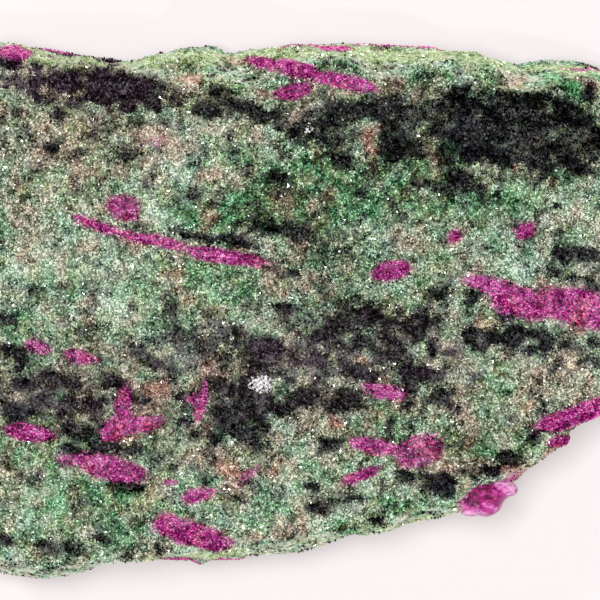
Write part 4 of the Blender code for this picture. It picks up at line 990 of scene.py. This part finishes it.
edge_mesh = bpy.data.meshes.new("edge_ruby")
balls = bmesh.new()
for x, y, z, length, width, height, turn, lightness in LOBES:
    place = (Matrix.Translation(Vector((x, y, z)) * MM) @ Matrix.Rotation(math.radians(turn), 4, "Z")
             @ Matrix.Diagonal(Vector((length, width, height, 1 / MM)) * MM))
    bmesh.ops.create_icosphere(balls, subdivisions=4, radius=1, matrix=place)
balls.to_mesh(edge_mesh)
balls.free()
edge_ruby = bpy.data.objects.new("edge_ruby", edge_mesh)
bpy.context.scene.collection.objects.link(edge_ruby)
remesh(edge_ruby, LOBE_VOXEL)
soften = edge_ruby.modifiers.new("soften", "SMOOTH")
soften.iterations = 4
apply_modifiers(edge_ruby)
edge_ruby.data.polygons.foreach_set("use_smooth", np.ones(len(edge_ruby.data.polygons), bool))

places, normals = read_points(edge_ruby.data)
near = [np.exp(-LOBE_FADE * np.sum((places - np.array(lobe[:3])) ** 2 / np.array(lobe[3:6]) ** 2, axis=1))
        for lobe in LOBES]
lightness = sum(share * lobe[7] for share, lobe in zip(near, LOBES)) / (sum(near) + 1e-9)
store(edge_ruby.data, "lightness", lightness + layered(places, CLOUDS))
print("edge ruby faces:", len(edge_ruby.data.polygons))

# %% [markdown]
# Fine streaks run through it along one direction. They come from noise whose space is drawn
# out, and they move the colour up and down the ramp and give a faint relief.

# %% The finish of the smooth ruby
STREAKS_PER_MM = 2.2
STREAK_STRETCH = (0.5, 1.6, 1)                # below 1 draws the streaks out, above 1 thins them
STREAK_TURN = -0.35         # radians
STREAK_LIGHT = 2.2          # how much lighter or darker a streak is

# A polished ruby gives the one wet-looking spot of the rock: soft highlights on pink swirls.
polished, tree, surface = new_material("polished_ruby", 0.28, 1.76, 0.25)
where = add_node(tree, "ShaderNodeTexCoord").outputs["Object"]
drawn_out = add_node(tree, "ShaderNodeMapping", {
    "Vector": where, "Rotation": (0, 0, STREAK_TURN), "Scale": STREAK_STRETCH})
streaks = add_node(tree, "ShaderNodeTexNoise", {
    "Vector": drawn_out, "Scale": STREAKS_PER_MM / MM, "Detail": 4.0, "Roughness": 0.75,
    "Distortion": 0.4}).outputs["Fac"]
own = add_node(tree, "ShaderNodeAttribute", attribute_name="lightness").outputs["Fac"]
start = add_node(tree, "ShaderNodeMath", {0: own, 1: STREAK_LIGHT / 2}, operation="SUBTRACT")
tint = add_node(tree, "ShaderNodeMath", {0: streaks, 1: STREAK_LIGHT, 2: start}, operation="MULTIPLY_ADD")
tree.links.new(mineral_colour(tree, "glassy", tint), surface.inputs["Base Color"])
relief = add_node(tree, "ShaderNodeBump", {"Height": streaks, "Distance": 0.15 * MM})
tree.links.new(relief.outputs["Normal"], surface.inputs["Normal"])
edge_ruby.data.materials.append(polished)
print("streaks per mm:", STREAKS_PER_MM)

# %% [markdown]
# ## Joining the frame
#
# Every piece rides on the solid's one body. The skin stands for the solid, which then isn't
# shown.

# %% Pieces and body
for piece in [rock, edge_ruby] + crystals:
    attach(piece, BODY)
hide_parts(NODE)
print("pieces on", BODY, ":", [piece.name for piece in [rock, edge_ruby] + crystals])

# %% [markdown]
# ## Floor
#
# The stone rests on a pale plain floor. The floor glows faintly, a painted glow that lifts the
# shadow round the stone and keeps it soft.

# %% A floor for the picture
HALF_FLOOR = 1.5            # metres
corners = [(x * HALF_FLOOR, y * HALF_FLOOR, 0) for x, y in ((-1, -1), (1, -1), (1, 1), (-1, 1))]
floor_mesh = bpy.data.meshes.new("floor")
floor_mesh.from_pydata(corners, [], [(0, 1, 2, 3)])
floor = bpy.data.objects.new("floor", floor_mesh)
bpy.context.scene.collection.objects.link(floor)
# The backdrop gives an even, slightly warm grey without a shine, and a faint painted glow that
# lifts the shadows, so the stone is all one sees.
paper, tree, surface = new_material("pale_backdrop", 0.9, 1.45, 0.1)
surface.inputs["Base Color"].default_value = linear("#b9b4b5")
surface.inputs["Emission Color"].default_value = linear("#fff6f7")
surface.inputs["Emission Strength"].default_value = 0.42
floor_mesh.materials.append(paper)
print("floor, m:", 2 * HALF_FLOOR)

# %% [markdown]
# ## Light and camera
#
# One soft square light almost overhead gives the rock its even light. Two small ones, at a slant
# from the west and the east, only make glints on the crystal faces. The pale world fills the
# shadows. The camera looks straight down from half a metre through a long lens.

# %% Lights
STONE_MIDDLE = (0, 0, 0.015)
LIGHTS = (  # name, width in metres, watts, place in metres
    ("window_light", 0.12, 2.1, (-0.03, 0.02, 0.50)),
    ("glint_west", 0.014, 0.22, (-0.28, 0.16, 0.34)),
    ("glint_east", 0.014, 0.22, (0.22, -0.12, 0.38)),
)
for name, width, watts, place in LIGHTS:
    light = bpy.data.lights.new(name, "AREA")
    light.size = width
    light.energy = watts
    lamp = bpy.data.objects.new(name, light)
    lamp.location = place
    lamp.rotation_euler = (Vector(STONE_MIDDLE) - Vector(place)).to_track_quat("-Z", "Y").to_euler()
    bpy.context.scene.collection.objects.link(lamp)

world = bpy.data.worlds.new("pale_room")
world.use_nodes = True
world.node_tree.nodes["Background"].inputs["Color"].default_value = linear("#fbf6f4")
world.node_tree.nodes["Background"].inputs["Strength"].default_value = 0.26
bpy.context.scene.world = world
bpy.context.scene.view_settings.view_transform = "Standard"
print("lights:", [name for name, width, watts, place in LIGHTS])

# %% Camera
FRAME_MIDDLE = (0, 0.65 * MM)                 # the stone's point in the middle of the picture
CAMERA_DISTANCE = 0.5       # metres above the upper face

camera = bpy.data.cameras.new("camera")
camera.lens = 300
camera.sensor_width = 36
camera.clip_start = 0.01
camera.clip_end = 20
eye = bpy.data.objects.new("camera", camera)
eye.location = (*FRAME_MIDDLE, CAMERA_DISTANCE + TOP_LEVEL * MM)
bpy.context.scene.collection.objects.link(eye)
bpy.context.scene.camera = eye
print("camera height, mm:", round(eye.location.z / MM))
